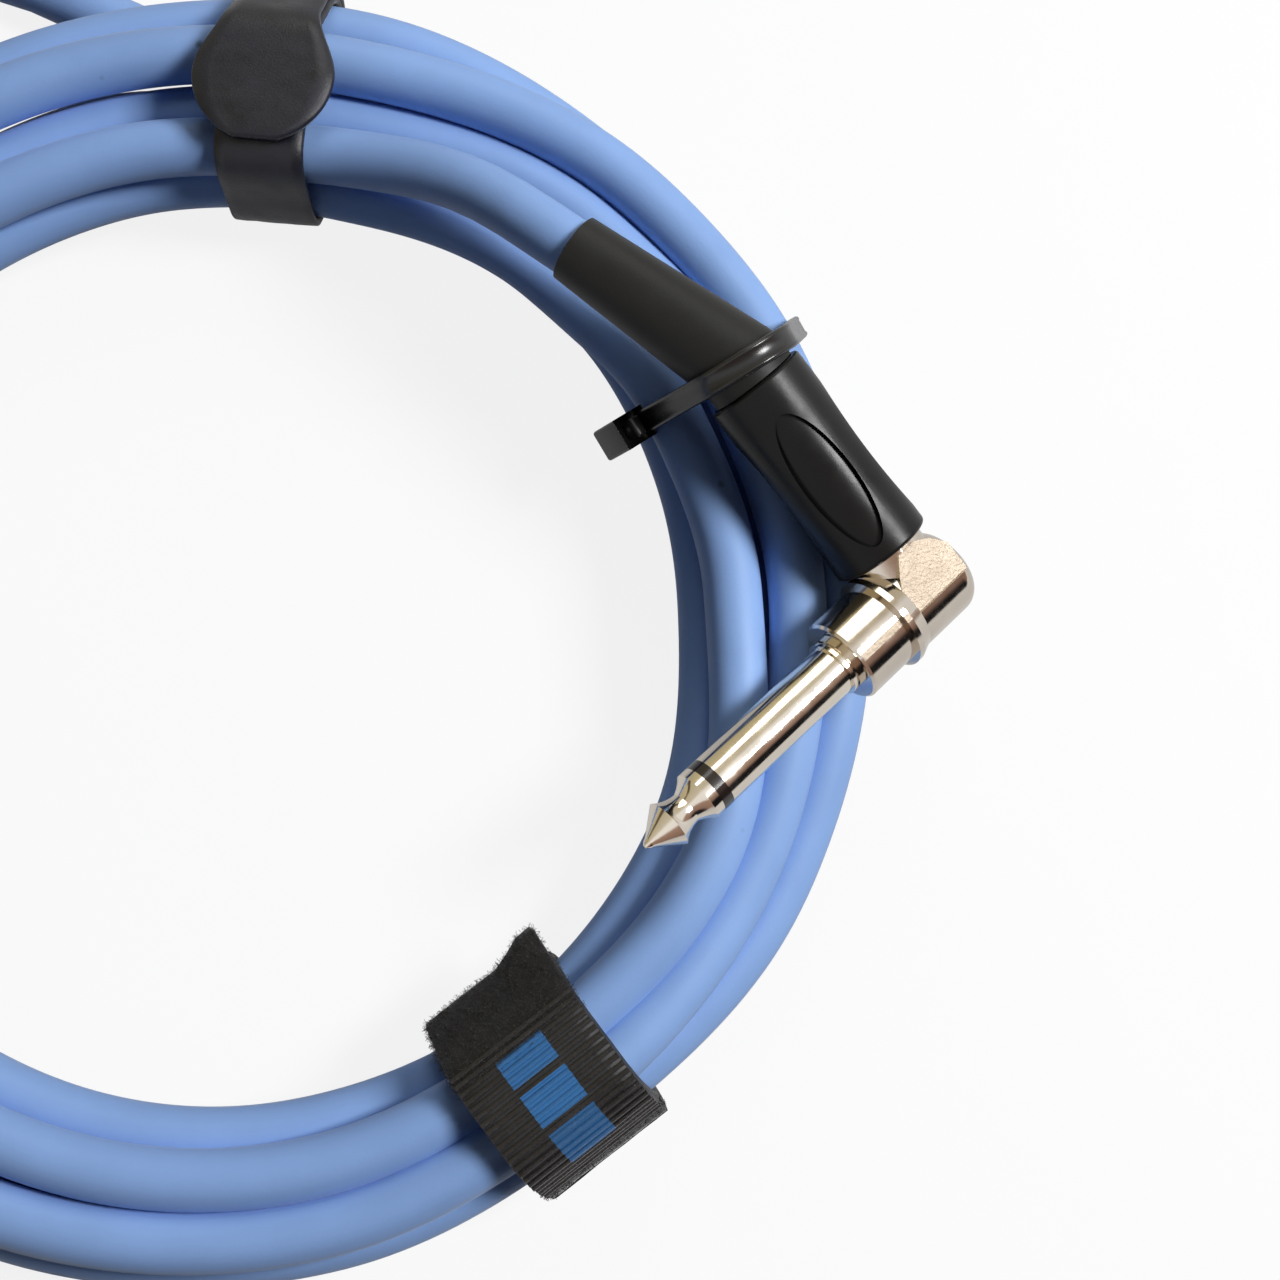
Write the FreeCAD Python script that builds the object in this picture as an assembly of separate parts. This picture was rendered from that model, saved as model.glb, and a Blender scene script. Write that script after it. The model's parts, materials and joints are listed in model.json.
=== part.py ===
"""Instrument cable: a coiled lead with a right-angle 6.35 mm plug at one end and a straight one at
the other, held by a nylon cable tie and two hook-and-loop straps. Millimetres, +Z up, lying on z = 0.
The clock angle used for places on the coil starts at +Y and runs clockwise, seen from above."""
import FreeCAD, Part
import math
import os
from FreeCAD import Placement, Rotation, Vector

# ---- cable and coil ----
CABLE_D = 7.0               # outside diameter of the jacket
COIL_INNER_R = 56.0         # inner edge of the coil
COIL_OUTER_R = 80.0         # outer edge of the coil
COIL_SHIFT = 2.5            # the outer edge lies this far towards +Y, the inner one towards -Y
COIL_HEIGHT = 17.9          # three rows of cable nested in each other
OUTER_SHOULDER = 8.0        # height where the coil's outer side starts to lean in
INNER_SHOULDER = 11.0       # the same on the inner side
OUTER_LEAN = 8.0            # how far each side leans in on its way to the top
INNER_LEAN = 5.0
TOP_SHIFT = 3.5             # the outer side's top lies this much nearer -Y than its foot
PLUG_CLOCK = 88.0           # under the right-angle plug the outer side leans in further
PLUG_LEAN = 15.0
COIL_FOOT = 3.0             # rounding of the coil's lower edges

# ---- 6.35 mm plug, the same on both ends ----
SHANK_R = 3.175
SHOULDER_TO_TIP = 31.8      # from the seating face to the point
RING_AT = 20.9              # from the seating face to the insulating ring
RING_LENGTH = 1.45
TIP_COLLAR = 1.2            # full-size land between the ring and the waist
WAIST_DEPTH = 1.225         # waist, cone and rings are cut from, or stand on, the shank
WAIST_AT = 3.05             # from the ring to the middle of the waist
CONE_STEP = 0.175
CONE_AT = 5.75              # from the ring to the widest place of the point
POINT_R = 0.7               # the point is rounded off from this radius
POINT_FLAT_R = 0.25
STEP_RISE = 0.425           # two fine rings where the shank leaves the seating face
STEP_LENGTH = 1.3
ROD_R = 1.1                 # centre rod that carries the tip
SLEEVE_WALL = 0.8
PRESS_GAP = 0.02            # parts pressed together
RUN_GAP = 0.06              # parts that turn or slide on each other

# ---- shell, grip and strain relief, the same on both ends ----
CABLE_ROOM = 1.4            # round the cable, for its clamp, inside the threaded spigot's radius
THREAD_R = CABLE_D / 2 + CABLE_ROOM
GRIP_WALL = 1.14            # wall of the black moulded barrel round it
GRIP_R = THREAD_R + RUN_GAP + GRIP_WALL
THREAD_LENGTH = 7.0
LIP = 0.4                   # rear mouth of the barrel, which holds the strain relief in
LIP_R = THREAD_R - LIP
LIP_LENGTH = 2.0
BOOT_ROOT_R = GRIP_R - 0.8  # strain relief where it leaves the barrel
BOOT_END_WALL = 0.6         # and its wall where the cable leaves it
BOOT_FLANGE = 2.1           # flange that is caught behind the lip
FIT_GAP = 0.1               # end play between stacked parts
PAD_LENGTH = 18.6           # oval recess of the barrel
PAD_WIDTH = 6.2
PAD_DEPTH = 0.6
PAD_AT = 0.455              # its middle, as a share of the barrel's length
PAD_TURN = 26.0             # degrees that the right-angle plug's recess faces towards its shank
SIDE_FLAT_R = 85.0          # large radius that grinds the flats on the barrel's sides
SIDE_FLAT_DEPTH = 0.5

# ---- right-angle plug ----
HEAD_CLOCK = 88.29          # where the shank and the barrel axes cross: clock angle,
HEAD_BEYOND = 3.937         # distance past the coil's outer edge
HEAD_DROP = 7.3             # and how far the barrel's lowest side dips below the coil's top
SHANK_YAW = -136.7          # direction of the shank, degrees from +X
SHANK_RISE = 12.2           # its tip lies higher than its head
HEAD_ROLL = -16.0           # turns the barrel up towards the strain relief
HEAD_R = 5.6
HEAD_FLAT = 5.1             # two flats on the head's barrel side, which run out over the neck
HEAD_FLAT_TO = 0.8          # where the round side of the head steps up from the flats
HEAD_CORNER = 2.4           # rounding of the head's rear edge
HEAD_REAR = 5.8             # from the crossing to the rear face
HEAD_FRONT = 6.0            # from the crossing to the step above the collar
RIM_R = 6.2
RIM_LENGTH = 0.8
COLLAR_R = 5.4
COLLAR_LENGTH = 7.0
NECK_STEP = 0.05            # neck and rim, against the thread and the head
HEAD_WALL = 1.2
ANGLE_GRIP_AT = 6.35        # from the crossing to the barrel's front end
ANGLE_GRIP_LENGTH = 24.9
BOOT_BEND_AT = 33.5         # from the crossing to the bend of the strain relief
ANGLE_BOOT_LENGTH = 24.0    # from the bend to the cable end of the strain relief
ANGLE_BOOT_TO = Vector(-19.5, 14.3, 0.0)    # direction of the strain relief past the bend

# ---- straight plug, lying beside the coil ----
STRAIGHT_BESIDE = 3.2       # between the plug and the coil
STRAIGHT_SET_BACK = -43.0   # its seating face, along Y
FLANGE_STEP = 0.2           # the flange stands proud of the barrel
FLANGE_LENGTH = 2.2
STRAIGHT_GRIP_LENGTH = 36.0
STRAIGHT_BOOT_LENGTH = 28.0
THREAD_PITCH = 1.0          # the barrel moves this far in one turn
UNSCREW_TRAVEL = 7.0        # and this far until the thread lets go

# ---- soldered joint inside each plug ----
LUG_THICKNESS = 0.5
LUG_R = 2.6
CORE_R = 0.9                # insulated inner conductor
DRAIN_R = 0.5               # twisted screen
CLAMP_WALL = 0.5
CLAMP_LENGTH = 5.0
CLAMP_STRIP = 2.4           # tongue that joins the clamp to the shell
DRAIN_LENGTH = 3.0

# ---- ties ----
TIE_THICKNESS = 1.2
TIE_WIDTH = 2.8
TIE_GAP = 0.2               # between the tie and what it holds
TIE_HEAD = Vector(4.4, 4.0, 5.2)    # through the head, along the cable, along the strap
TIE_HEAD_DROP = 3.4         # the middle of its outer face, below the coil's top
TIE_HEAD_IN = 0.80532       # and inside the inner line of the strap
TIE_HEAD_LEAN = 28.0
TIE_STUB = 1.2              # end of the strap, cut off behind the head
TIE_AT = 33.8               # place on the strain relief, from the right-angle plug's crossing
TIE_FACES = 58.1            # clock angle that the tie's plane faces
TIE_TILT = 14.0             # its top leans towards the right-angle plug's head
TIE_SLANT = 0.4             # the strain relief passes through the tie at a slant, and the coil too
TIE_EASE = 0.5
STRAP_THICKNESS = 1.0
STRAP_WIDTH = 17.0
STRAP_CINCH = 1.8           # how far the strap pulls the coil's outer side in
TOP_STRAP_WIDTH = 11.0      # the second strap is narrower, with a wide round end on its flap
TOP_STRAP_CINCH = 0.5
TOP_FLAP_END_R = 8.7
STRAP_GAP = 0.2
HOOK_THICKNESS = 0.4        # sewn hook patch under the strap's end
FLAP_THICKNESS = 1.0
FLAP_GAP = 0.3
FLAP_ROOT = OUTER_SHOULDER + 2.0    # height at which the flap leaves the sewn fold
HOOK_SETBACK = 4.0          # the hooks start this far from the flap's end
STRAP_CLOCK = 142.6         # where the straps sit on the coil
TOP_STRAP_CLOCK = 5.1
FLAP_TIP_IN = 2.0           # the long flap's end passes the coil's inner edge by this
TOP_FLAP_REACH = 57.0       # radius that the second flap's round end reaches

# ---- cable ends, chosen by hand: the route that each end of the cable takes ----
CABLE_START = 15.0          # from the crossing, or the seating face, to the cut jacket
ANGLE_TAIL = ((30.0, 4.4, 3.1), (15.5, 3.4, -4.5))      # clock angle, from the inner edge, from the top
STRAIGHT_RUN = 76.0         # straight stretch behind the seating face
STRAIGHT_LEAD = 19.0        # and as far again before the first bend
STRAIGHT_TAIL = ((-46.1, 31.0, 3.7), (-33.0, 28.5, 3.6), (-20.7, 16.2, 3.6),
                 (-8.7, -1.1, 3.7))     # clock angle, from the outer edge, height

UP = Vector(0, 0, 1)
nodes = {}


# ---- shapes ----

def rod(start, direction, length, radius, bore=0.0):
    solid = Part.makeCylinder(radius, length, start, direction)
    if bore:
        solid = solid.cut(Part.makeCylinder(bore, length + 2, start - direction * 1, direction))
    return solid


def cone(start, direction, length, radius, end_radius):
    return Part.makeCone(radius, end_radius, length, start, direction)


def turned(corners):
    """Solid of revolution about the X axis from (x, radius) corners."""
    points = [Vector(x, r, 0) for x, r in corners]
    face = Part.Face(Part.makePolygon(points + points[:1]))
    return face.revolve(Vector(0, 0, 0), Vector(1, 0, 0), 360)


def join(first, *others):
    return first.fuse(list(others)).removeSplitter()


def route_wire(points):
    """Straight runs joined by tangent arcs, each as large as its two runs allow. Returns wire and radii."""
    edges, radii, at = [], [], points[0]
    for before, corner, after in zip(points, points[1:], points[2:]):
        back, on = before - corner, after - corner
        turn = math.pi - back.getAngle(on)
        tangent = 0.45 * min(back.Length, on.Length)
        radii.append(tangent / math.tan(turn / 2))
        back.normalize()
        on.normalize()
        start, end = corner + back * tangent, corner + on * tangent
        middle = (back + on).normalize()
        sagitta = radii[-1] * (1 / math.cos(turn / 2) - 1)
        edges.append(Part.LineSegment(at, start).toShape())
        edges.append(Part.Arc(start, corner + middle * sagitta, end).toShape())
        at = end
    edges.append(Part.LineSegment(at, points[-1]).toShape())
    return Part.Wire(edges), radii


def cable_tube(points, radius):
    wire, radii = route_wire(points)
    ring = Part.Wire(Part.Circle(points[0], points[1] - points[0], radius).toShape())
    solid = wire.makePipeShell([ring], True, False)
    return solid, wire.Length, radii


def clock(angle, radius=1.0, height=0.0):
    turn = math.radians(angle)
    return Vector(radius * math.sin(turn), radius * math.cos(turn), height)


HEAD_AT = clock(HEAD_CLOCK, COIL_OUTER_R + HEAD_BEYOND, COIL_HEIGHT - HEAD_DROP + GRIP_R)
STRAIGHT_AT = Vector(-COIL_OUTER_R - STRAIGHT_BESIDE - GRIP_R - FLANGE_STEP, STRAIGHT_SET_BACK,
                     GRIP_R + FLANGE_STEP)


def coil_edges(angle, aside=0.0):
    """Where a vertical plane that faces a clock angle and passes this far beside the coil's centre
    meets the coil's inner edge, its outer edge and the top of its outer side, along the plane."""
    turn = math.radians(angle)

    def edge(radius, shift):
        return (math.sqrt(radius ** 2 - (aside + shift * math.sin(turn)) ** 2)
                + shift * math.cos(turn))
    return (edge(COIL_INNER_R, -COIL_SHIFT), edge(COIL_OUTER_R, COIL_SHIFT),
            edge(COIL_OUTER_R - OUTER_LEAN, COIL_SHIFT - TOP_SHIFT))


# ---- 6.35 mm contact parts, along +X with the seating face at x = face ----

def tip_and_rod(face, rod_end):
    """One-piece tip and centre rod: land, waist, cone and a slightly blunt point."""
    ring_end = face + RING_AT + RING_LENGTH
    waist, widest = ring_end - RING_LENGTH + WAIST_AT + 1.4, ring_end - RING_LENGTH + CONE_AT + 1.4
    point = face + SHOULDER_TO_TIP
    land = Vector(ring_end + TIP_COLLAR, SHANK_R, 0)
    outline = [
        Part.LineSegment(Vector(rod_end, 0, 0), Vector(rod_end, ROD_R, 0)),
        Part.LineSegment(Vector(rod_end, ROD_R, 0), Vector(ring_end, ROD_R, 0)),
        Part.LineSegment(Vector(ring_end, ROD_R, 0), Vector(ring_end, SHANK_R, 0)),
        Part.LineSegment(Vector(ring_end, SHANK_R, 0), land),
        Part.Arc(land, Vector((land.x + waist) / 2 + 0.25, (SHANK_R + (SHANK_R - WAIST_DEPTH)) / 2 - 0.3, 0),
                 Vector(waist, (SHANK_R - WAIST_DEPTH), 0)),
        Part.Arc(Vector(waist, (SHANK_R - WAIST_DEPTH), 0), Vector((waist + widest) / 2 + 0.2, (SHANK_R - WAIST_DEPTH) + 0.35, 0),
                 Vector(widest, (SHANK_R - CONE_STEP), 0)),
        Part.LineSegment(Vector(widest, (SHANK_R - CONE_STEP), 0), Vector(point - POINT_R, POINT_R, 0)),
        Part.Arc(Vector(point - POINT_R, POINT_R, 0), Vector(point - 0.25, POINT_FLAT_R + 0.25, 0),
                 Vector(point, POINT_FLAT_R, 0)),
        Part.LineSegment(Vector(point, POINT_FLAT_R, 0), Vector(point, 0, 0)),
        Part.LineSegment(Vector(point, 0, 0), Vector(rod_end, 0, 0)),
    ]
    face_shape = Part.Face(Part.Wire([edge.toShape() for edge in outline]))
    return face_shape.revolve(Vector(0, 0, 0), Vector(1, 0, 0), 360)


def sleeve(face, spigot):
    """Ground contact: the shank tube with its two fine rings and a spigot pressed into the shell."""
    bore = SHANK_R - SLEEVE_WALL
    step = SHANK_R + STEP_RISE
    groove = step - 0.45
    return turned([(face - spigot, bore), (face - spigot, SHANK_R), (face, SHANK_R), (face, step),
                   (face + 0.5, step), (face + 0.5, groove), (face + 0.8, groove),
                   (face + 0.8, step), (face + STEP_LENGTH, step), (face + STEP_LENGTH, SHANK_R),
                   (face + RING_AT, SHANK_R), (face + RING_AT, bore)])


def contact_parts(name, face, rod_end, spigot):
    along = Vector(1, 0, 0)
    bore = ROD_R + PRESS_GAP
    nodes[name + "_tip"] = tip_and_rod(face, rod_end)
    nodes[name + "_insulator_ring"] = rod(
        Vector(face + RING_AT, 0, 0), along, RING_LENGTH, SHANK_R, bore)
    nodes[name + "_rod_insulator"] = rod(
        Vector(face - spigot, 0, 0), along, RING_AT + spigot, SHANK_R - SLEEVE_WALL - PRESS_GAP, bore)
    nodes[name + "_sleeve"] = sleeve(face, spigot)


def lug_and_washer(name, lug_x, washer_end):
    """Soldering lug riveted on the rod's end, and the washer that keeps it off the shell."""
    along = Vector(1, 0, 0)
    bore = ROD_R + PRESS_GAP
    nodes[name + "_tip_lug"] = rod(Vector(lug_x, 0, 0), along, LUG_THICKNESS, LUG_R, bore)
    nodes[name + "_washer"] = rod(Vector(lug_x + LUG_THICKNESS, 0, 0), along,
                                  washer_end - lug_x - LUG_THICKNESS, THREAD_R - HEAD_WALL, bore)


def cable_joint(name, shell_end, core_from, core_offset, turn):
    """Conductors and screen clamp of a cable that leaves along -X, turned about Z by turn degrees."""
    back = Vector(-1, 0, 0)
    hold = CABLE_D / 2 + PRESS_GAP
    hoop = rod(Vector(-CABLE_START - 1, 0, 0), back, CLAMP_LENGTH, hold + CLAMP_WALL, hold)
    strip_end = -CABLE_START - 1.5
    strip = Part.makeBox(-shell_end - PRESS_GAP - strip_end, CLAMP_STRIP, CLAMP_WALL,
                         Vector(strip_end, -CLAMP_STRIP / 2, -hold - CLAMP_WALL))
    nodes[name + "_cable_clamp"] = join(hoop, strip)
    nodes[name + "_core_wire"] = rod(Vector(-core_from, core_offset, 0), back,
                                     CABLE_START - core_from, CORE_R)
    nodes[name + "_drain_wire"] = rod(Vector(-CABLE_START + DRAIN_LENGTH, 0, -CABLE_D / 2 + DRAIN_R),
                                      back, DRAIN_LENGTH, DRAIN_R)
    for part in ("_cable_clamp", "_core_wire", "_drain_wire"):
        nodes[name + part].rotate(Vector(0, 0, 0), UP, turn)


def plug_shell_marks(barrel, middle, back, up):
    """Oval recess on one side of the barrel and a long flat ground on each side of it."""
    across = back.cross(up)
    ellipse = Part.Ellipse(Vector(0, 0, 0), PAD_LENGTH / 2, PAD_WIDTH / 2).toShape()
    pad = Part.Face(Part.Wire(ellipse)).extrude(Vector(0, 0, GRIP_R + 2))
    pad.Placement = Placement(middle, Rotation(back, up.cross(back), up, "XYZ"))
    core = rod(middle - back * PAD_LENGTH, back, 2 * PAD_LENGTH, GRIP_R - PAD_DEPTH)
    barrel = barrel.cut(pad.cut(core))
    for sign in (1, -1):
        centre = middle + across * sign * (GRIP_R - SIDE_FLAT_DEPTH + SIDE_FLAT_R)
        barrel = barrel.cut(rod(centre - up * GRIP_R * 2, up, 4 * GRIP_R, SIDE_FLAT_R))
    return barrel


# ---- right-angle plug, in its own frame: shank along +X, barrel along -Y, crossing at the origin ----

def angle_head():
    along, back = Vector(1, 0, 0), Vector(0, -1, 0)
    turret = rod(Vector(-HEAD_REAR, 0, 0), along, HEAD_REAR + HEAD_FRONT, HEAD_R)
    turret = turret.makeFillet(HEAD_CORNER, [e for e in turret.Edges
                                             if e.BoundBox.XMax < -HEAD_REAR + 0.01])
    plan = [Vector(x, y, -HEAD_FLAT) for x, y in
            ((-HEAD_REAR + 1.0, HEAD_FLAT_TO), (-HEAD_REAR + 1.0, -3.05), (-HEAD_REAR + 2.6, -4.9),
             (-HEAD_REAR + 4.5, -5.85), (1.3, -5.75), (2.9, -3.7), (4.4, -1.2), (4.4, HEAD_FLAT_TO))]
    cheek = Part.Face(Part.makePolygon(plan + plan[:1])).extrude(UP * 2 * HEAD_FLAT)
    above = Part.makeBox(HEAD_REAR + 4.4 + 1, 2 * HEAD_R + HEAD_FLAT_TO, HEAD_R,
                         Vector(-HEAD_REAR - 1, -2 * HEAD_R, HEAD_FLAT))
    turret = turret.cut(above).cut(above.mirror(Vector(0, 0, 0), UP))
    rim = rod(Vector(HEAD_FRONT - RIM_LENGTH, 0, 0), along, RIM_LENGTH, RIM_R)
    flare = cone(Vector(HEAD_FRONT - 3 * RIM_LENGTH, 0, 0), along, 2 * RIM_LENGTH, HEAD_R, RIM_R)
    collar = rod(Vector(HEAD_FRONT, 0, 0), along, COLLAR_LENGTH, COLLAR_R)
    collar = collar.makeChamfer(0.3, [e for e in collar.Edges
                                      if e.BoundBox.XMin > HEAD_FRONT + COLLAR_LENGTH - 0.01])
    neck = rod(Vector(0, 0, 0), back, ANGLE_GRIP_AT - 0.05, THREAD_R + NECK_STEP)
    spigot = rod(Vector(0, 0, 0), back, ANGLE_GRIP_AT + THREAD_LENGTH, THREAD_R)
    solid = join(turret, cheek, rim, flare, collar, neck, spigot)
    cavity = THREAD_R - HEAD_WALL + PRESS_GAP
    solid = solid.cut(rod(Vector(-cavity, 0, 0), along, 2 * cavity + 1.2, cavity))
    solid = solid.cut(rod(Vector(0, 0, 0), back, ANGLE_GRIP_AT + THREAD_LENGTH + 1, cavity))
    return solid.cut(rod(Vector(0, 0, 0), along, HEAD_FRONT + COLLAR_LENGTH + 1, SHANK_R + PRESS_GAP))


def barrel_shell(start, back, length, up):
    """Moulded barrel: a threaded bore and a lip at the rear that holds the strain relief."""
    bore = THREAD_R + RUN_GAP
    solid = rod(start, back, length, GRIP_R)
    ends = [e for e in solid.Edges if e.Closed and e.Length < 6.4 * GRIP_R]
    solid = solid.makeFillet(0.5, ends)
    solid = solid.cut(rod(start - back, back, length - LIP_LENGTH + 1, bore))
    solid = solid.cut(rod(start - back, back, length + 2, LIP_R))
    return plug_shell_marks(solid, start + back * length * PAD_AT, back, up)


def boot(start, back, bend, bend_to, end, bore_solid):
    """Soft strain relief: flange behind the lip, stem through it, and a long taper on the cable."""
    flange = rod(start, back, BOOT_FLANGE, THREAD_R)
    stem_length = BOOT_FLANGE + LIP_LENGTH + 2 * FIT_GAP
    stem = rod(start, back, stem_length, LIP_R - RUN_GAP)
    root = rod(start + back * stem_length, back, bend - stem_length, BOOT_ROOT_R)
    corner = start + back * bend
    taper = cone(corner, bend_to, end, BOOT_ROOT_R, CABLE_D / 2 + BOOT_END_WALL)
    knuckle = Part.makeSphere(BOOT_ROOT_R, corner)
    knuckle = knuckle.common(rod(start + back * stem_length, back, 4 * BOOT_ROOT_R, 2 * BOOT_ROOT_R))
    return join(flange, stem, root, knuckle, taper).cut(bore_solid)


def build_angle_plug():
    back = Vector(0, -1, 0)
    face = HEAD_FRONT + COLLAR_LENGTH
    contact_parts("angle", face, 1.0, face - 5.1)
    nodes["angle_head"] = angle_head()
    lug_and_washer("angle", 1.6, 4.8)
    cable_joint("angle", ANGLE_GRIP_AT + THREAD_LENGTH, LUG_R + PRESS_GAP, 1.85, 90)
    turn = math.radians(PAD_TURN)
    nodes["angle_barrel"] = barrel_shell(Vector(0, -ANGLE_GRIP_AT, 0), back, ANGLE_GRIP_LENGTH,
                                         Vector(math.sin(turn), 0, math.cos(turn)))


def angle_frame():
    return Placement(HEAD_AT, Rotation(SHANK_YAW, -SHANK_RISE, HEAD_ROLL))


def place(prefix, frame):
    for name in [n for n in nodes if n.startswith(prefix)]:
        nodes[name].Placement = frame.multiply(nodes[name].Placement)


# ---- straight plug, in its own frame: shank along +X, seating face at x = 0 ----

def straight_body():
    rear = -FLANGE_LENGTH - THREAD_LENGTH
    cavity = THREAD_R - HEAD_WALL + PRESS_GAP
    return turned([(rear, cavity), (rear, THREAD_R), (-FLANGE_LENGTH, THREAD_R),
                   (-FLANGE_LENGTH, (GRIP_R + FLANGE_STEP) - 0.3), (-FLANGE_LENGTH + 0.3, (GRIP_R + FLANGE_STEP)),
                   (-0.3, (GRIP_R + FLANGE_STEP)), (0, (GRIP_R + FLANGE_STEP) - 0.3), (0, SHANK_R + PRESS_GAP),
                   (-6.0, SHANK_R + PRESS_GAP), (-6.0, cavity)])


def build_straight_plug():
    back = Vector(-1, 0, 0)
    contact_parts("straight", 0.0, -9.7, 5.9)
    nodes["straight_body"] = straight_body()
    lug_and_washer("straight", -8.8, -6.1)
    cable_joint("straight", FLANGE_LENGTH + THREAD_LENGTH, 9.8, 0, 0)
    grip = Vector(-FLANGE_LENGTH - 0.05, 0, 0)
    nodes["straight_barrel"] = barrel_shell(grip, back, STRAIGHT_GRIP_LENGTH, UP)
    liner_from = grip + back * (THREAD_LENGTH + 1.0)
    liner_to = STRAIGHT_GRIP_LENGTH - LIP_LENGTH - BOOT_FLANGE - 3 * FIT_GAP
    nodes["straight_liner"] = rod(liner_from, back, liner_to - THREAD_LENGTH - 1.0,
                                  THREAD_R + RUN_GAP - PRESS_GAP, THREAD_R - 0.35)
    boot_from = grip + back * (STRAIGHT_GRIP_LENGTH - LIP_LENGTH - BOOT_FLANGE - FIT_GAP)
    bore = rod(boot_from - back * 5, back, 80, CABLE_D / 2 + RUN_GAP)
    nodes["straight_strain_relief"] = boot(boot_from, back, 6.0, back, STRAIGHT_BOOT_LENGTH, bore)


def straight_frame():
    return Placement(STRAIGHT_AT, Rotation(-90, 0, 0))


# ---- the cable ----

def cable_parts(frame):
    """The coil's outer shape and both cable ends. Returns the bore that the bent strain relief needs."""
    back = frame.Rotation.multVec(Vector(0, -1, 0))
    bend = HEAD_AT + back * BOOT_BEND_AT
    boot_end = bend + Vector(ANGLE_BOOT_TO).normalize() * (ANGLE_BOOT_LENGTH + 1.5)
    points = [HEAD_AT + back * CABLE_START, bend, boot_end]
    points += [clock(angle, COIL_INNER_R + along, COIL_HEIGHT + up) for angle, along, up in ANGLE_TAIL]
    tail = [straight_point(STRAIGHT_RUN), straight_point(STRAIGHT_RUN + STRAIGHT_LEAD)]
    tail += [clock(angle, COIL_OUTER_R + beyond, up) for angle, beyond, up in STRAIGHT_TAIL]
    for name, route in (("angle_cable_tail", points), ("straight_cable_tail", tail)):
        solid, length, radii = cable_tube(route, CABLE_D / 2)
        nodes[name] = solid
        exact = math.pi * CABLE_D ** 2 / 4 * length
        print(name, "length %.1f" % length, "volume/section*length %.4f" % (solid.Volume / exact),
              "radii", ["%.0f" % r for r in radii])
    nodes["straight_cable_end"] = rod(straight_point(CABLE_START), Vector(0, 1, 0),
                                      STRAIGHT_RUN - CABLE_START, CABLE_D / 2)
    return cable_tube(points, CABLE_D / 2 + RUN_GAP)[0]


def straight_point(distance):
    return STRAIGHT_AT + Vector(0, distance, 0)


def ring_body(radius, lean, shoulder, foot, centre, top_centre):
    """Cone, cylinder and leaning top that bound the coil on one side."""
    base = cone(centre, UP, COIL_FOOT, radius - foot, radius)
    wall = rod(centre + UP * COIL_FOOT, UP, shoulder - COIL_FOOT, radius)
    rings = [Part.Circle(centre + UP * shoulder, UP, radius),
             Part.Circle(top_centre + UP * COIL_HEIGHT, UP, radius - lean)]
    top = Part.makeLoft([Part.Wire(ring.toShape()) for ring in rings], True, True)
    return join(base, wall, top)


def coil_solid(notches, cinches):
    """The ring of cable, with notches under the ties, flats where the straps pull its outer side in,
    and a slope that clears the right-angle plug."""
    middle = Vector(0, -COIL_SHIFT, 0)
    outer = ring_body(COIL_OUTER_R, OUTER_LEAN, OUTER_SHOULDER, COIL_FOOT, -middle,
                      Vector(0, COIL_SHIFT - TOP_SHIFT, 0))
    coil = outer.cut(ring_body(COIL_INNER_R, -INNER_LEAN, INNER_SHOULDER, -COIL_FOOT, middle, middle))
    for angle, aside, width, depth in notches:
        block = Part.makeBox(200, width, depth + 1, Vector(0, -width / 2, -1))
        block.rotate(Vector(0, 0, 0), UP, 90 - angle)
        block.translate(clock(angle + 90, aside))
        coil = coil.cut(block)
    for angle, width, cinch in cinches:
        face = Part.makePolygon([Vector(x, -width / 2, y) for x, y in outer_side(angle, cinch)])
        block = Part.Face(face).extrude(Vector(0, width, 0))
        block.rotate(Vector(0, 0, 0), UP, 90 - angle)
        coil = coil.cut(block)
    slope = Part.makeBox(60, 100, 30, Vector(-50, -50, 0))
    slope.rotate(Vector(0, 0, 0), Vector(0, 1, 0),
                 math.degrees(math.atan2(COIL_HEIGHT - OUTER_SHOULDER, PLUG_LEAN)))
    slope.translate(Vector(COIL_OUTER_R, 0, OUTER_SHOULDER))
    slope.rotate(Vector(0, 0, 0), UP, 90 - PLUG_CLOCK)
    return coil.cut(slope)


def outer_side(angle, cinch):
    """Closed outline of what a strap takes off the coil's outer side."""
    outer, top = (edge - cinch for edge in coil_edges(angle)[1:])
    return ((outer - COIL_FOOT, 0), (outer, COIL_FOOT), (outer, OUTER_SHOULDER), (top, COIL_HEIGHT),
            (top, COIL_HEIGHT + 5), (outer + 20, COIL_HEIGHT + 5), (outer + 20, -5),
            (outer - COIL_FOOT, -5), (outer - COIL_FOOT, 0))


# ---- ties, drawn in the plane through the coil's axis: x is the radius, y the height ----

def coil_section(edges, bottom):
    inner, outer, top = edges
    foot = COIL_FOOT - bottom
    return [(inner + foot, bottom), (outer - foot, bottom), (outer, COIL_FOOT),
            (outer, OUTER_SHOULDER), (top, COIL_HEIGHT),
            (inner + INNER_LEAN, COIL_HEIGHT), (inner, INNER_SHOULDER), (inner, COIL_FOOT)]


def hull(points):
    """Convex hull, counter-clockwise."""
    points = sorted(set(points))

    def half(row):
        chain = []
        for p in row:
            while len(chain) > 1 and ((chain[-1][0] - chain[-2][0]) * (p[1] - chain[-2][1])
                                      - (chain[-1][1] - chain[-2][1]) * (p[0] - chain[-2][0])) <= 1e-6:
                chain.pop()
            chain.append(p)
        return chain[:-1]
    return half(points) + half(points[::-1])


def inner_side(section, height):
    """Radius at which the inner side of a closed outline crosses a height."""
    return min(a[0] + (b[0] - a[0]) * (height - a[1]) / (b[1] - a[1])
               for a, b in zip(section, section[1:] + section[:1])
               if min(a[1], b[1]) <= height < max(a[1], b[1]))


def loop_face(section, offset):
    points = [Vector(x, y, 0) for x, y in section]
    return Part.Face(Part.makePolygon(points + points[:1]).makeOffset2D(offset))


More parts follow.
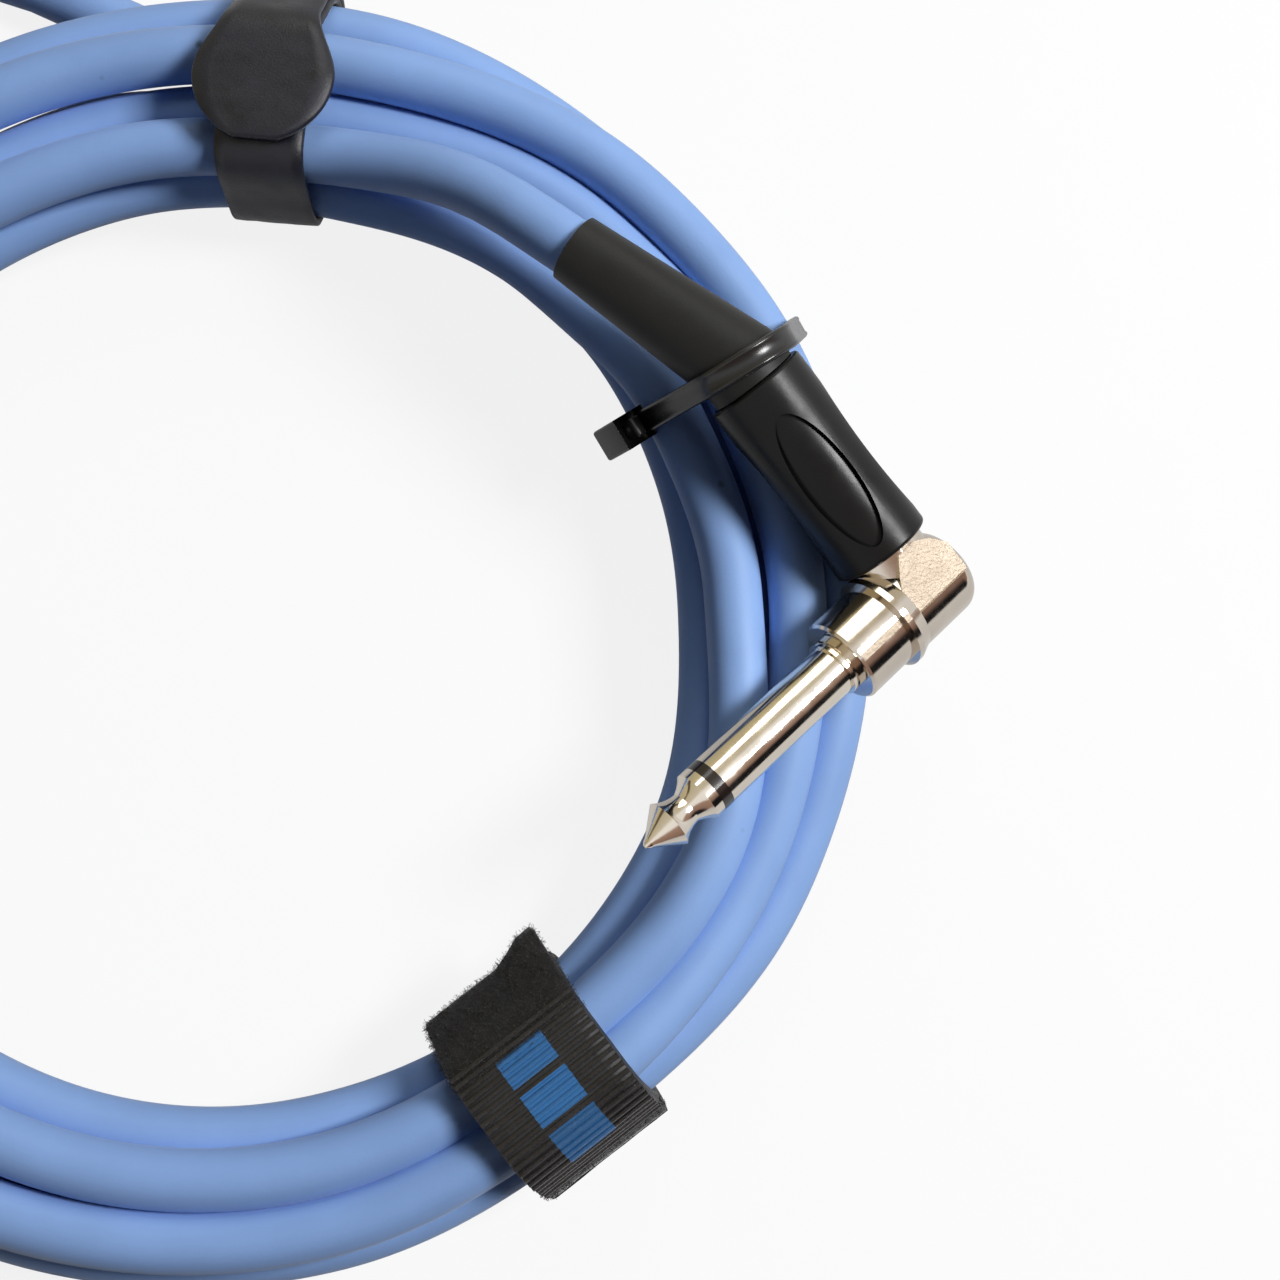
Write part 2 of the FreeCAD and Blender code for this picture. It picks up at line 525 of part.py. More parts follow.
def stand_on_coil(flat, width, angle, aside=0.0, tilt=0.0):
    """Extrudes a shape drawn in the section plane along the cable and sets it on its clock angle."""
    solid = flat.extrude(Vector(0, 0, width))
    solid.translate(Vector(0, 0, -width / 2))
    solid.rotate(Vector(0, 0, 0), Vector(1, 0, 0), 90 + tilt)
    solid.rotate(Vector(0, 0, 0), UP, 90 - angle)
    solid.translate(clock(angle + 90, aside))
    return solid


def layer(section, inside, outside):
    return loop_face(section, outside).cut(loop_face(section, inside))


def tie_place():
    """Point of the strain relief that the tie passes over, and how far the tie's plane passes beside
    the coil's centre on the floor and half way up the coil."""
    held = HEAD_AT + plug_back * TIE_AT
    lean = math.tan(math.radians(TIE_TILT))
    aside = held.dot(clock(TIE_FACES + 90)) - held.z * lean
    return held, aside, aside + COIL_HEIGHT / 2 * lean


def tie_foot():
    """Depth that the tie takes up under the coil, with its lower edge just off the floor."""
    return TIE_THICKNESS + TIE_GAP + TIE_WIDTH * math.sin(math.radians(TIE_TILT)) / 2


def cable_tie():
    """Nylon tie round the coil and the strain relief: toothed strap and locking head in one piece."""
    held, aside, aside_half_way = tie_place()
    inner, outer, top = coil_edges(TIE_FACES, aside_half_way)
    along = held.dot(clock(TIE_FACES))
    rise = 1 / math.cos(math.radians(TIE_TILT))
    section = [(x, y * rise) for x, y in
               coil_section((inner - TIE_EASE, outer + TIE_EASE, top + TIE_EASE), tie_foot())]
    loop = BOOT_ROOT_R + TIE_SLANT
    for t in range(0, 360, 15):
        turn = math.radians(t)
        section.append((along + loop * math.cos(turn), held.z * rise + loop * math.sin(turn)))
    section = hull(section)
    head_z = (COIL_HEIGHT - TIE_HEAD_DROP) * rise
    ring = layer(section, TIE_GAP, TIE_GAP + TIE_THICKNESS)
    strap = stand_on_coil(ring, TIE_WIDTH, TIE_FACES, aside, TIE_TILT)
    head = Part.makeBox(TIE_HEAD.x, TIE_HEAD.y, TIE_HEAD.z,
                        Vector(-TIE_HEAD.x, -TIE_HEAD.y / 2, -TIE_HEAD.z / 2))
    stub = Part.makeBox(TIE_THICKNESS, TIE_WIDTH - 0.3, TIE_HEAD.z / 2 + TIE_STUB,
                        Vector(-TIE_HEAD.x * 0.6, 0.15 - TIE_WIDTH / 2, 0))
    head = join(head, stub)
    head.rotate(Vector(0, 0, 0), Vector(0, 1, 0), TIE_HEAD_LEAN)
    head.translate(Vector(inner_side(section, head_z) - TIE_HEAD_IN, 0, head_z))
    head.rotate(Vector(0, 0, 0), Vector(1, 0, 0), TIE_TILT)
    head.rotate(Vector(0, 0, 0), UP, 90 - TIE_FACES)
    head.translate(clock(TIE_FACES + 90, aside))
    keep = stand_on_coil(loop_face(section, TIE_GAP), 4 * TIE_WIDTH, TIE_FACES, aside, TIE_TILT)
    return join(strap, head.cut(keep))


def strap_parts(name, angle, width, cinch, tip_radius, end_r):
    """Hook-and-loop strap: band round the coil with a sewn fold at its outer side, hook patch, and
    the flap that peels off, square or with a round end. Returns the place where the flap bends."""
    outer, top = coil_edges(angle)[1:]
    inner = min(coil_edges(angle, side * width / 2)[0] for side in (1, -1)) - PRESS_GAP
    section = coil_section((inner, outer - cinch, top - cinch), STRAP_THICKNESS + STRAP_GAP)
    on_band = STRAP_GAP + STRAP_THICKNESS
    lift = on_band + HOOK_THICKNESS + FLAP_GAP
    flap_out = lift + FLAP_THICKNESS
    band = stand_on_coil(layer(section, STRAP_GAP, on_band), width, angle)
    window = Part.makePlane(20, FLAP_ROOT - COIL_FOOT - 0.1, Vector(outer - 8, COIL_FOOT, 0))
    fold = stand_on_coil(layer(section, on_band - 0.2, flap_out).common(window), width, angle)
    nodes[name + "_band"] = join(band, fold)
    window = Part.makePlane(20, 20, Vector(tip_radius + HOOK_SETBACK, FLAP_ROOT + 1, 0))
    patch = layer(section, on_band, on_band + HOOK_THICKNESS).common(window)
    nodes[name + "_hook_patch"] = stand_on_coil(patch, width - 1, angle)
    window = Part.makePlane(60, 20, Vector(tip_radius, FLAP_ROOT, 0))
    flap = layer(section, lift, flap_out).common(window)
    if end_r:
        # widens from the band's width to the round end, on the coil's top
        middle = tip_radius + end_r
        corners = [Vector(x, y, 0) for x, y in
                   ((middle, end_r), (middle + end_r * 0.3, end_r), (top - cinch, width / 2), (120, width / 2))]
        corners += [Vector(corner.x, -corner.y, 0) for corner in corners[::-1]]
        shape = Part.Face(Part.makePolygon(corners + corners[:1])).extrude(UP * 40)
        shape = join(rod(Vector(middle, 0, 0), UP, 40, end_r), shape)
        shape.rotate(Vector(0, 0, 0), UP, 90 - angle)
        nodes[name + "_flap"] = stand_on_coil(flap, 2 * end_r, angle).common(shape)
    else:
        nodes[name + "_flap"] = stand_on_coil(flap, width, angle)
    level = Part.makeLine(Vector(top, FLAP_ROOT, 0), Vector(outer + 2 * flap_out, FLAP_ROOT, 0))
    return clock(angle, loop_face(section, flap_out).common(level).BoundBox.XMax, FLAP_ROOT)


# ---- build ----

build_angle_plug()
place("angle", angle_frame())
build_straight_plug()
place("straight", straight_frame())
boot_bore = cable_parts(angle_frame())
plug_back = angle_frame().Rotation.multVec(Vector(0, -1, 0))
boot_start = ANGLE_GRIP_AT + ANGLE_GRIP_LENGTH - LIP_LENGTH - BOOT_FLANGE - FIT_GAP
nodes["angle_strain_relief"] = boot(
    HEAD_AT + plug_back * boot_start, plug_back, BOOT_BEND_AT - boot_start,
    Vector(ANGLE_BOOT_TO).normalize(), ANGLE_BOOT_LENGTH, boot_bore)
nodes["cable_tie"] = cable_tie()
flap_root = strap_parts("strap", STRAP_CLOCK, STRAP_WIDTH, STRAP_CINCH,
                        coil_edges(STRAP_CLOCK)[0] - FLAP_TIP_IN, 0)
top_flap_root = strap_parts("top_strap", TOP_STRAP_CLOCK, TOP_STRAP_WIDTH, TOP_STRAP_CINCH,
                            TOP_FLAP_REACH, TOP_FLAP_END_R)
strap_notch = STRAP_THICKNESS + STRAP_GAP
nodes["cable_coil"] = coil_solid(
    ((STRAP_CLOCK, 0, STRAP_WIDTH + 1, strap_notch),
     (TOP_STRAP_CLOCK, 0, TOP_STRAP_WIDTH + 1, strap_notch),
     (TIE_FACES, tie_place()[1], TIE_WIDTH + 1, tie_foot() + TIE_GAP)),
    ((STRAP_CLOCK, STRAP_WIDTH + 1, STRAP_CINCH),
     (TOP_STRAP_CLOCK, TOP_STRAP_WIDTH + 1, TOP_STRAP_CINCH)))

# the origin is the middle of the plugs and ties, on the surface that they lie on
CORD_NODES = ("cable_coil", "angle_cable_tail", "straight_cable_tail", "straight_cable_end")
box = FreeCAD.BoundBox()
for node, shape in nodes.items():
    if node not in CORD_NODES:
        box.add(shape.optimalBoundingBox(False))
origin = Vector(box.Center.x, box.Center.y, 0)

os.makedirs("parts", exist_ok=True)
for node, shape in nodes.items():
    shape.translate(-origin)
    shape.exportStep("parts/%s.step" % node)
    print(node, "solids", len(shape.Solids), "valid", shape.isValid(), "volume %.1f" % shape.Volume)
print("origin", origin, "box", box)
for label, point in (("angle head", HEAD_AT), ("flap root", flap_root), ("top flap root", top_flap_root),
                     ("straight face", STRAIGHT_AT)):
    print(label, point - origin)
frame = angle_frame().Rotation
print("shank", frame.multVec(Vector(1, 0, 0)), "barrel back", plug_back)
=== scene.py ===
import bpy
import bmesh
import json
import math
from mathutils import Matrix, Vector, noise


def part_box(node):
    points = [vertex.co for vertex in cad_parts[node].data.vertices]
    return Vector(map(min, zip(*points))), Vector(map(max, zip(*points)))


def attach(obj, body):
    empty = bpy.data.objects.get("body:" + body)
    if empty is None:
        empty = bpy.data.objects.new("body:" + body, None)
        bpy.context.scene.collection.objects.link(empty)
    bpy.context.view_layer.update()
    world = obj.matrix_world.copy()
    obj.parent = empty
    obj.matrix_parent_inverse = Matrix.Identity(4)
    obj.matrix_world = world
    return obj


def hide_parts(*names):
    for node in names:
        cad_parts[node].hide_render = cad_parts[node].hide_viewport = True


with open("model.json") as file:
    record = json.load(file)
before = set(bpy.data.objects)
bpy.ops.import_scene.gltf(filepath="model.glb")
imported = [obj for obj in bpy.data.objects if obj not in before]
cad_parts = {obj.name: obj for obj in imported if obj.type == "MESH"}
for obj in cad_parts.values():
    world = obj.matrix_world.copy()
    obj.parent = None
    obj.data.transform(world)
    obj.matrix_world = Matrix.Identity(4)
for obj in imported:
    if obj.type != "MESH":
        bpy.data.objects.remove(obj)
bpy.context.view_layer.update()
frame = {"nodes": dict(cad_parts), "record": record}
nodes = frame["nodes"]
scene = bpy.context.scene

# ---- camera ----
# Nearly straight above, close to the right half of the coil. It is placed from the coil's own
# centre, on the surface that the coil lies on, 2.5 mm off the middle of the coil's box.
low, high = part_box("cable_coil")
coil = Vector(((low.x + high.x) / 2, (low.y + high.y) / 2 - 0.0025, 0))
aim = coil + Vector((0.0515, -0.00225, 0.010))
tilt, distance = math.radians(82), 0.2
camera = bpy.data.objects.new("camera", bpy.data.cameras.new("camera"))
scene.collection.objects.link(camera)
camera.data.sensor_width = 36
camera.data.lens = 46.125
camera.data.clip_start = 0.01
camera.location = aim + distance * Vector((0, -math.cos(tilt), math.sin(tilt)))
camera.rotation_euler = (math.radians(90) - tilt, 0, 0)
scene.camera = camera

# ---- cable ----
# Instrument cable: a screened core in a soft satin PVC jacket, 7 mm thick, coiled by hand in three
# rows. It is one cord from the straight plug, seven times past the top of the coil and up into the
# right-angle plug's strain relief.
JACKET_RADIUS = 0.0035


def outward(angle):
    """Level direction away from the coil's centre at a clock angle, which starts at +Y."""
    turn = math.radians(angle)
    return Vector((math.sin(turn), math.cos(turn), 0))


def on_coil(angle, radius, height):
    """Place on the coil at a clock angle, with its radius and height in mm."""
    return coil + (outward(angle) * radius + Vector((0, 0, height))) / 1000


def eased(share):
    """Share of a change that starts and ends gently."""
    return share * share * (3 - 2 * share)


# Each row gives, at one clock angle, the radius and height in mm of every pass, in the order in
# which the cable lays them.
lanes = (
    (10.0, ((73.0, 3.5), (65.5, 10.2), (71.3, 14.4), (77.9, 8.95), (63.7, 3.5), (57.5, 7.5), (58.9, 14.4))),
    (45.0, ((69.3, 3.5), (67.8, 11.3), (74.5, 13.0), (76.5, 5.2), (60.8, 5.0), (58.8, 11.6))),
    (65.0, ((66.5, 3.5), (69.0, 12.6), (76.0, 11.0), (74.0, 3.9), (60.0, 6.8), (61.0, 13.6))),
    (88.0, ((65.3, 3.5), (70.6, 13.0), (76.4, 9.3), (72.4, 3.5), (59.7, 8.2), (62.7, 14.9))),
    (115.0, ((63.5, 3.5), (71.3, 11.5), (75.7, 7.0), (70.2, 3.5), (61.6, 9.8), (66.3, 15.2))),
    (142.6, ((64.0, 3.5), (70.6, 14.4), (73.0, 8.8), (70.3, 3.5), (61.7, 9.4), (64.5, 14.6))),
    (169.0, ((64.3, 3.5), (72.0, 14.2), (74.6, 8.8), (71.2, 3.5), (61.3, 9.2), (65.2, 14.8))),
    (220.0, ((66.3, 6.5), (72.0, 14.3), (75.3, 8.9), (71.5, 3.5), (60.3, 8.6), (64.0, 14.4))),
    (270.0, ((66.5, 9.8), (71.8, 14.4), (75.5, 8.9), (68.0, 3.5), (60.0, 7.6), (61.8, 14.2))),
    (345.0, ((65.8, 10.0), (71.4, 14.9), (77.0, 10.6), (70.0, 3.5), (58.3, 7.6), (59.6, 14.4))),
)
FIRST_ROW, LAST_ROW = lanes[0][0], lanes[-1][0]
# degrees from one point of the coiled cord to the next, and how many there are
TURN_STEP, STEPS = 5.0, 434
# what passes under the strands: its clock angle, half of its width as an angle, and its thickness
under = ((5.1, 5.0, 1.45), (61.0, 3.0, 2.4), (142.6, 7.5, 1.45))
# over how many degrees they rise to it, the height in mm from which they don't, and how that fades
RISE_OVER, RISE_TOP, RISE_FADE = 6.0, 9.0, 5.5
points = [coil + Vector(p) for p in (
    (-0.0895, -0.028, 0.0063), (-0.0895, 0.033, 0.0063), (-0.0895, 0.052, 0.0063))]
points += [on_coil(*p) for p in (
    (-46.1, 111.0, 3.7), (-33.0, 108.5, 3.6), (-20.7, 96.2, 3.6), (-8.7, 78.9, 3.7))]
for step in range(STEPS):
    run = TURN_STEP * step
    lap, angle = divmod(run - FIRST_ROW + 360.0, 360.0)
    lap, angle = int(lap) - 1, angle + FIRST_ROW
    if lap < 0:
        (r0, z0), (r1, z1), share = (75.0, 3.5), lanes[0][1][0], run / FIRST_ROW
    elif angle >= LAST_ROW:
        (r0, z0), (r1, z1) = lanes[-1][1][lap], lanes[0][1][lap + 1]
        share = (angle - LAST_ROW) / (FIRST_ROW + 360.0 - LAST_ROW)
    else:
        row = max(i for i, lane in enumerate(lanes) if lane[0] <= angle)
        (r0, z0), (r1, z1) = lanes[row][1][lap], lanes[row + 1][1][lap]
        share = (angle - lanes[row][0]) / (lanes[row + 1][0] - lanes[row][0])
    radius, height = r0 + (r1 - r0) * eased(share), z0 + (z1 - z0) * eased(share)
    for place, half, thickness in under:
        beside = abs((run - place + 180.0) % 360.0 - 180.0)
        rise = min(1.0, max(0.0, 1 + (half - beside) / RISE_OVER))
        height += thickness * eased(rise) * min(1.0, max(0.0, (RISE_TOP - height) / RISE_FADE))
    points.append(on_coil(run, radius, height))
points += [on_coil(15.5, 59.4, 15.4), on_coil(30.0, 60.4, 21.0)]
points += [coil + Vector(p) for p in (
    (0.04267, 0.04236, 0.025725), (0.063235, 0.027279, 0.025725), (0.074647, 0.013597, 0.020741))]
curve = bpy.data.curves.new("cable", "CURVE")
curve.dimensions = "3D"
# each point's own radius is the jacket's
curve.bevel_depth = 1
curve.bevel_resolution = 7
curve.use_fill_caps = True
spline = curve.splines.new("NURBS")
spline.points.add(len(points) - 1)
for point, place in zip(spline.points, points):
    point.co = (*place, 1)
    point.radius = JACKET_RADIUS
spline.order_u = 3
spline.use_endpoint_u = True
spline.resolution_u = 4
cable = bpy.data.objects.new("cable", curve)
scene.collection.objects.link(cable)
# the cable's own line, for what is wrapped round it
bare = bpy.data.objects.new("cable_line", curve.copy())
bare.data.bevel_depth = 0
scene.collection.objects.link(bare)
line = bpy.data.meshes.new_from_object(bare.evaluated_get(bpy.context.evaluated_depsgraph_get()))
strands = [v.co.copy() for v in line.vertices]
bpy.data.objects.remove(bare)
bpy.data.meshes.remove(line)
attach(cable, "lead")
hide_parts("cable_coil", "angle_cable_tail", "straight_cable_tail", "straight_cable_end")


def finish(name, colour, roughness, metallic=0.0, mottle=0.12, patch=90.0, grain=1400.0, bump=0.00002,
           wear=0.25, stretch=(1, 1, 1), turn=(0, 0, 0)):
    """Material with patchy colour, uneven gloss and a fine grain. Returns it, its tree and its shader."""
    made = bpy.data.materials.new(name)
    made.use_nodes = True
    tree = made.node_tree
    link, new = tree.links.new, tree.nodes.new
    shader = tree.nodes["Principled BSDF"]
    shader.inputs["Metallic"].default_value = metallic
    place = new("ShaderNodeTexCoord")
    around = new("ShaderNodeMapping")
    around.inputs["Rotation"].default_value = turn
    around.inputs["Scale"].default_value = stretch
    link(place.outputs["Object"], around.inputs["Vector"])
    fine, broad = new("ShaderNodeTexNoise"), new("ShaderNodeTexNoise")
    fine.inputs["Scale"].default_value = grain
    fine.inputs["Detail"].default_value = 6
    broad.inputs["Scale"].default_value = patch
    broad.inputs["Detail"].default_value = 8
    broad.inputs["Roughness"].default_value = 0.65
    link(around.outputs["Vector"], fine.inputs["Vector"])
    link(place.outputs["Object"], broad.inputs["Vector"])
    tint = new("ShaderNodeValToRGB")
    tint.name = "tint"
    tint.color_ramp.elements[0].position, tint.color_ramp.elements[1].position = 0.3, 0.7
    tint.color_ramp.elements[0].color = (*[c * (1 - mottle) for c in colour], 1)
    tint.color_ramp.elements[1].color = (*[min(1.0, c * (1 + mottle)) for c in colour], 1)
    link(broad.outputs["Fac"], tint.inputs["Fac"])
    link(tint.outputs["Color"], shader.inputs["Base Color"])
    gloss = new("ShaderNodeMapRange")
    gloss.name = "gloss"
    gloss.inputs["From Min"].default_value, gloss.inputs["From Max"].default_value = 0.3, 0.7
    gloss.inputs["To Min"].default_value = roughness * (1 - wear)
    gloss.inputs["To Max"].default_value = roughness * (1 + wear)
    link(broad.outputs["Fac"], gloss.inputs["Value"])
    link(gloss.outputs["Result"], shader.inputs["Roughness"])
    raised = new("ShaderNodeBump")
    raised.name = "raised"
    raised.inputs["Distance"].default_value = bump
    raised.inputs["Strength"].default_value = 0.6
    link(fine.outputs["Fac"], raised.inputs["Height"])
    link(raised.outputs["Normal"], shader.inputs["Normal"])
    return made, tree, shader


# soft satin jacket, with a few dark specks of dirt and faint scuffs
jacket, tree, shader = finish("jacket", (0.262, 0.425, 0.775), 0.5, mottle=0.07, patch=45, grain=2200,
                              bump=0.00003)
link, new = tree.links.new, tree.nodes.new
specks = new("ShaderNodeTexVoronoi")
specks.inputs["Scale"].default_value = 62
specks.inputs["Randomness"].default_value = 1
spot = new("ShaderNodeMapRange")
spot.inputs["From Min"].default_value, spot.inputs["From Max"].default_value = 0.018, 0.045
spot.inputs["To Min"].default_value, spot.inputs["To Max"].default_value = 0.3, 1.0
dirty = new("ShaderNodeMix")
dirty.data_type, dirty.blend_type = "RGBA", "MULTIPLY"
dirty.inputs["Factor"].default_value = 1
link(tree.nodes["Texture Coordinate"].outputs["Object"], specks.inputs["Vector"])
link(specks.outputs["Distance"], spot.inputs["Value"])
link(tree.nodes["tint"].outputs["Color"], dirty.inputs[6])
link(spot.outputs["Result"], dirty.inputs[7])
link(dirty.outputs[2], shader.inputs["Base Color"])
shader.inputs["Specular IOR Level"].default_value = 0.35
shader.inputs["Sheen Weight"].default_value = 0.12
shader.inputs["Sheen Roughness"].default_value = 0.4
curve.materials.append(jacket)

# ---- plug metal ----
# Tips, sleeves and shells of both plugs: turned brass with a warm nickel plate, polished, with fine
# scratches along the shank from use. The right-angle shell is cast, with two grained flats.
# which way the right-angle plug's shank points, which way the barrel leaves its shell, and which way
# the shell's two flats face
shank = Vector(frame["record"]["mounts"][0]["axis"])
barrel_back = Vector((-0.61686, 0.73953, 0.26941))
flat_faces = barrel_back.cross(shank).normalized()
along_shank = Matrix((shank, -barrel_back, flat_faces)).to_euler()
nickel, tree, shader = finish("plug_nickel", (0.80, 0.73, 0.63), 0.13, metallic=1, mottle=0.05, patch=300,
                              grain=900, bump=0.000004, wear=0.5, stretch=(0.05, 1, 1), turn=along_shank)
cast, tree, shader = finish("cast_nickel", (0.66, 0.59, 0.51), 0.12, metallic=1, mottle=0.05, patch=260,
                            grain=1500, bump=0.000003, wear=0.5)
link, new = tree.links.new, tree.nodes.new
# the two flats are told apart by the way they face
facing, towards, faced, on_flat = (new("ShaderNode" + kind) for kind in (
    "NewGeometry", "VectorMath", "Math", "Math"))
towards.operation, faced.operation, on_flat.operation = "DOT_PRODUCT", "ABSOLUTE", "GREATER_THAN"
towards.inputs[1].default_value = flat_faces
on_flat.inputs[1].default_value = 0.997
link(facing.outputs["True Normal"], towards.inputs[0])
link(towards.outputs["Value"], faced.inputs[0])
link(faced.outputs[0], on_flat.inputs[0])
# their cast skin is rougher and duller than the polished rounds, with a fine pebble grain
rough, dull, pebble, grain = (new("ShaderNode" + kind) for kind in ("Math", "Mix", "TexNoise", "Bump"))
rough.operation = "MULTIPLY_ADD"
rough.inputs[1].default_value = 0.48
dull.data_type, dull.blend_type = "RGBA", "MULTIPLY"
dull.inputs[7].default_value = (0.60, 0.57, 0.53, 1)
pebble.inputs["Scale"].default_value = 2600
pebble.inputs["Detail"].default_value = 2
grain.inputs["Distance"].default_value = 0.00013
link(on_flat.outputs[0], rough.inputs[0])
link(tree.nodes["gloss"].outputs["Result"], rough.inputs[2])
link(rough.outputs[0], shader.inputs["Roughness"])
link(on_flat.outputs[0], dull.inputs["Factor"])
link(tree.nodes["tint"].outputs["Color"], dull.inputs[6])
link(dull.outputs[2], shader.inputs["Base Color"])
link(tree.nodes["Texture Coordinate"].outputs["Object"], pebble.inputs["Vector"])
link(pebble.outputs["Fac"], grain.inputs["Height"])
link(on_flat.outputs[0], grain.inputs["Strength"])
link(tree.nodes["raised"].outputs["Normal"], grain.inputs["Normal"])
link(grain.outputs["Normal"], shader.inputs["Normal"])


def give(made, *names):
    for name in names:
        nodes[name].data.materials.clear()
        nodes[name].data.materials.append(made)


give(nickel, "angle_tip", "angle_sleeve", "straight_tip", "straight_sleeve", "straight_body")
give(cast, "angle_head")

# ---- insulation and conductors inside the plugs ----
# A hard brown-black ring between tip and sleeve, a nylon insulator and washer on the rod, a tinned
# lug and clamp, the insulated core and the copper screen soldered to them, and a paper liner.
ring, tree, shader = finish("ring_phenolic", (0.022, 0.014, 0.012), 0.22, mottle=0.3, bump=0.000005)
shader.inputs["Coat Weight"].default_value = 0.3
nylon_white, tree, shader = finish("white_nylon", (0.74, 0.71, 0.62), 0.5, mottle=0.06)
shader.inputs["Subsurface Weight"].default_value = 0.1
shader.inputs["Subsurface Scale"].default_value = 0.001
tinned, tree, shader = finish("tinned_steel", (0.62, 0.61, 0.58), 0.34, metallic=1, mottle=0.1, patch=700)
core, tree, shader = finish("core_insulation", (0.80, 0.79, 0.75), 0.42, mottle=0.04)
screen, tree, shader = finish("copper_screen", (0.72, 0.38, 0.22), 0.36, metallic=1, mottle=0.2, grain=3000,
                              bump=0.0001, stretch=(1, 1, 0.2))
liner, tree, shader = finish("paper_liner", (0.60, 0.56, 0.46), 0.75, mottle=0.1, bump=0.00004)
for end in ("angle", "straight"):
    give(ring, end + "_insulator_ring")
    give(nylon_white, end + "_rod_insulator", end + "_washer")
    give(tinned, end + "_tip_lug", end + "_cable_clamp")
    give(core, end + "_core_wire")
    give(screen, end + "_drain_wire")
give(liner, "straight_liner")

# ---- barrels and strain reliefs ----
# The barrels are hard black moulding with a low gloss. The strain reliefs are matt soft rubber, a
# little paler where they have been handled.
moulding, tree, shader = finish("black_moulding", (0.009, 0.009, 0.009), 0.3, mottle=0.25, patch=120,
                                grain=2600, bump=0.000012, wear=0.3)
shader.inputs["Specular IOR Level"].default_value = 0.2
rubber, tree, shader = finish("strain_relief_rubber", (0.013, 0.013, 0.0125), 0.5, mottle=0.3, patch=110,
                              grain=3200, bump=0.00003, wear=0.15)
shader.inputs["Specular IOR Level"].default_value = 0.26
shader.inputs["Sheen Weight"].default_value = 0.05
give(moulding, "angle_barrel", "straight_barrel")
give(rubber, "angle_strain_relief", "straight_strain_relief")

# ---- long strap ----
# Black nylon webbing, ribbed across, wrapped round the bundle. One end is sewn into a fold at the
# outer side and carries hooks on top; the other is the flap, fuzzy at its ends, that sticks to them.

# points on the rim of each disc that a line is drawn round
RIM_SPOTS = 64


def tight(discs, step, start):
    """Tight line round discs, given as (x, y, radius) in mm, evenly spaced from where its right side
    rises past the start height, over the top and back round underneath."""
    turns = [a * 2 * math.pi / RIM_SPOTS for a in range(RIM_SPOTS)]
    rim = sorted({(round(x + r * math.cos(a), 4), round(y + r * math.sin(a), 4))
                  for x, y, r in discs for a in turns})
    hull = []
    for row in (rim, rim[::-1]):
        chain = []
        for p in row:
            while len(chain) > 1 and ((chain[-1][0] - chain[-2][0]) * (p[1] - chain[-2][1])
                                      - (chain[-1][1] - chain[-2][1]) * (p[0] - chain[-2][0])) <= 1e-6:
                chain.pop()
            chain.append(p)
        hull += chain[:-1]
    count = len(hull)
    first = next(i for i in range(count) if hull[i][1] < start <= hull[(i + 1) % count][1])
    a, b = hull[first], hull[(first + 1) % count]
    share = (start - a[1]) / (b[1] - a[1])
    hull = [(a[0] + (b[0] - a[0]) * share, start)] + [hull[(first + 1 + i) % count] for i in range(count)]
    hull.append(hull[0])
    lengths = [math.dist(p, q) for p, q in zip(hull, hull[1:])]
    spots = round(sum(lengths) / step)
    even = []
    for i in range(spots):
        want, at = i * sum(lengths) / spots, 0
        while want > lengths[at]:
            want -= lengths[at]
            at += 1
        even.append(Vector(hull[at]).lerp(Vector(hull[at + 1]), want / lengths[at]))
    for _ in range(2):
        even = [(even[i - 1] + even[i] * 2 + even[(i + 1) % spots]) / 4 for i in range(spots)]
    return even


# how far from the coil's centre the bundle's strands pass, in m, and the steps of a line in mm
BUNDLE_IN, BUNDLE_OUT, LINE_STEP = 0.04, 0.095, 0.7


def wrap(angle, half, clear, start=10.0):
    """Line round the strands that pass a clock angle, as (radius, height) in mm."""
    out, side = outward(angle), outward(angle + 90)
    passing = [p - coil for p in strands if abs((p - coil).dot(side)) < half / 1000]
    return tight([(p.dot(out) * 1000, p.z * 1000, JACKET_RADIUS * 1000 + clear) for p in passing
                  if BUNDLE_IN < p.dot(out) < BUNDLE_OUT], LINE_STEP, start)


# the webbing's round edge, how unevenly it lies and its least height, in mm
SELVEDGE, WAVER, LOWEST = 0.25, 0.12, 0.05


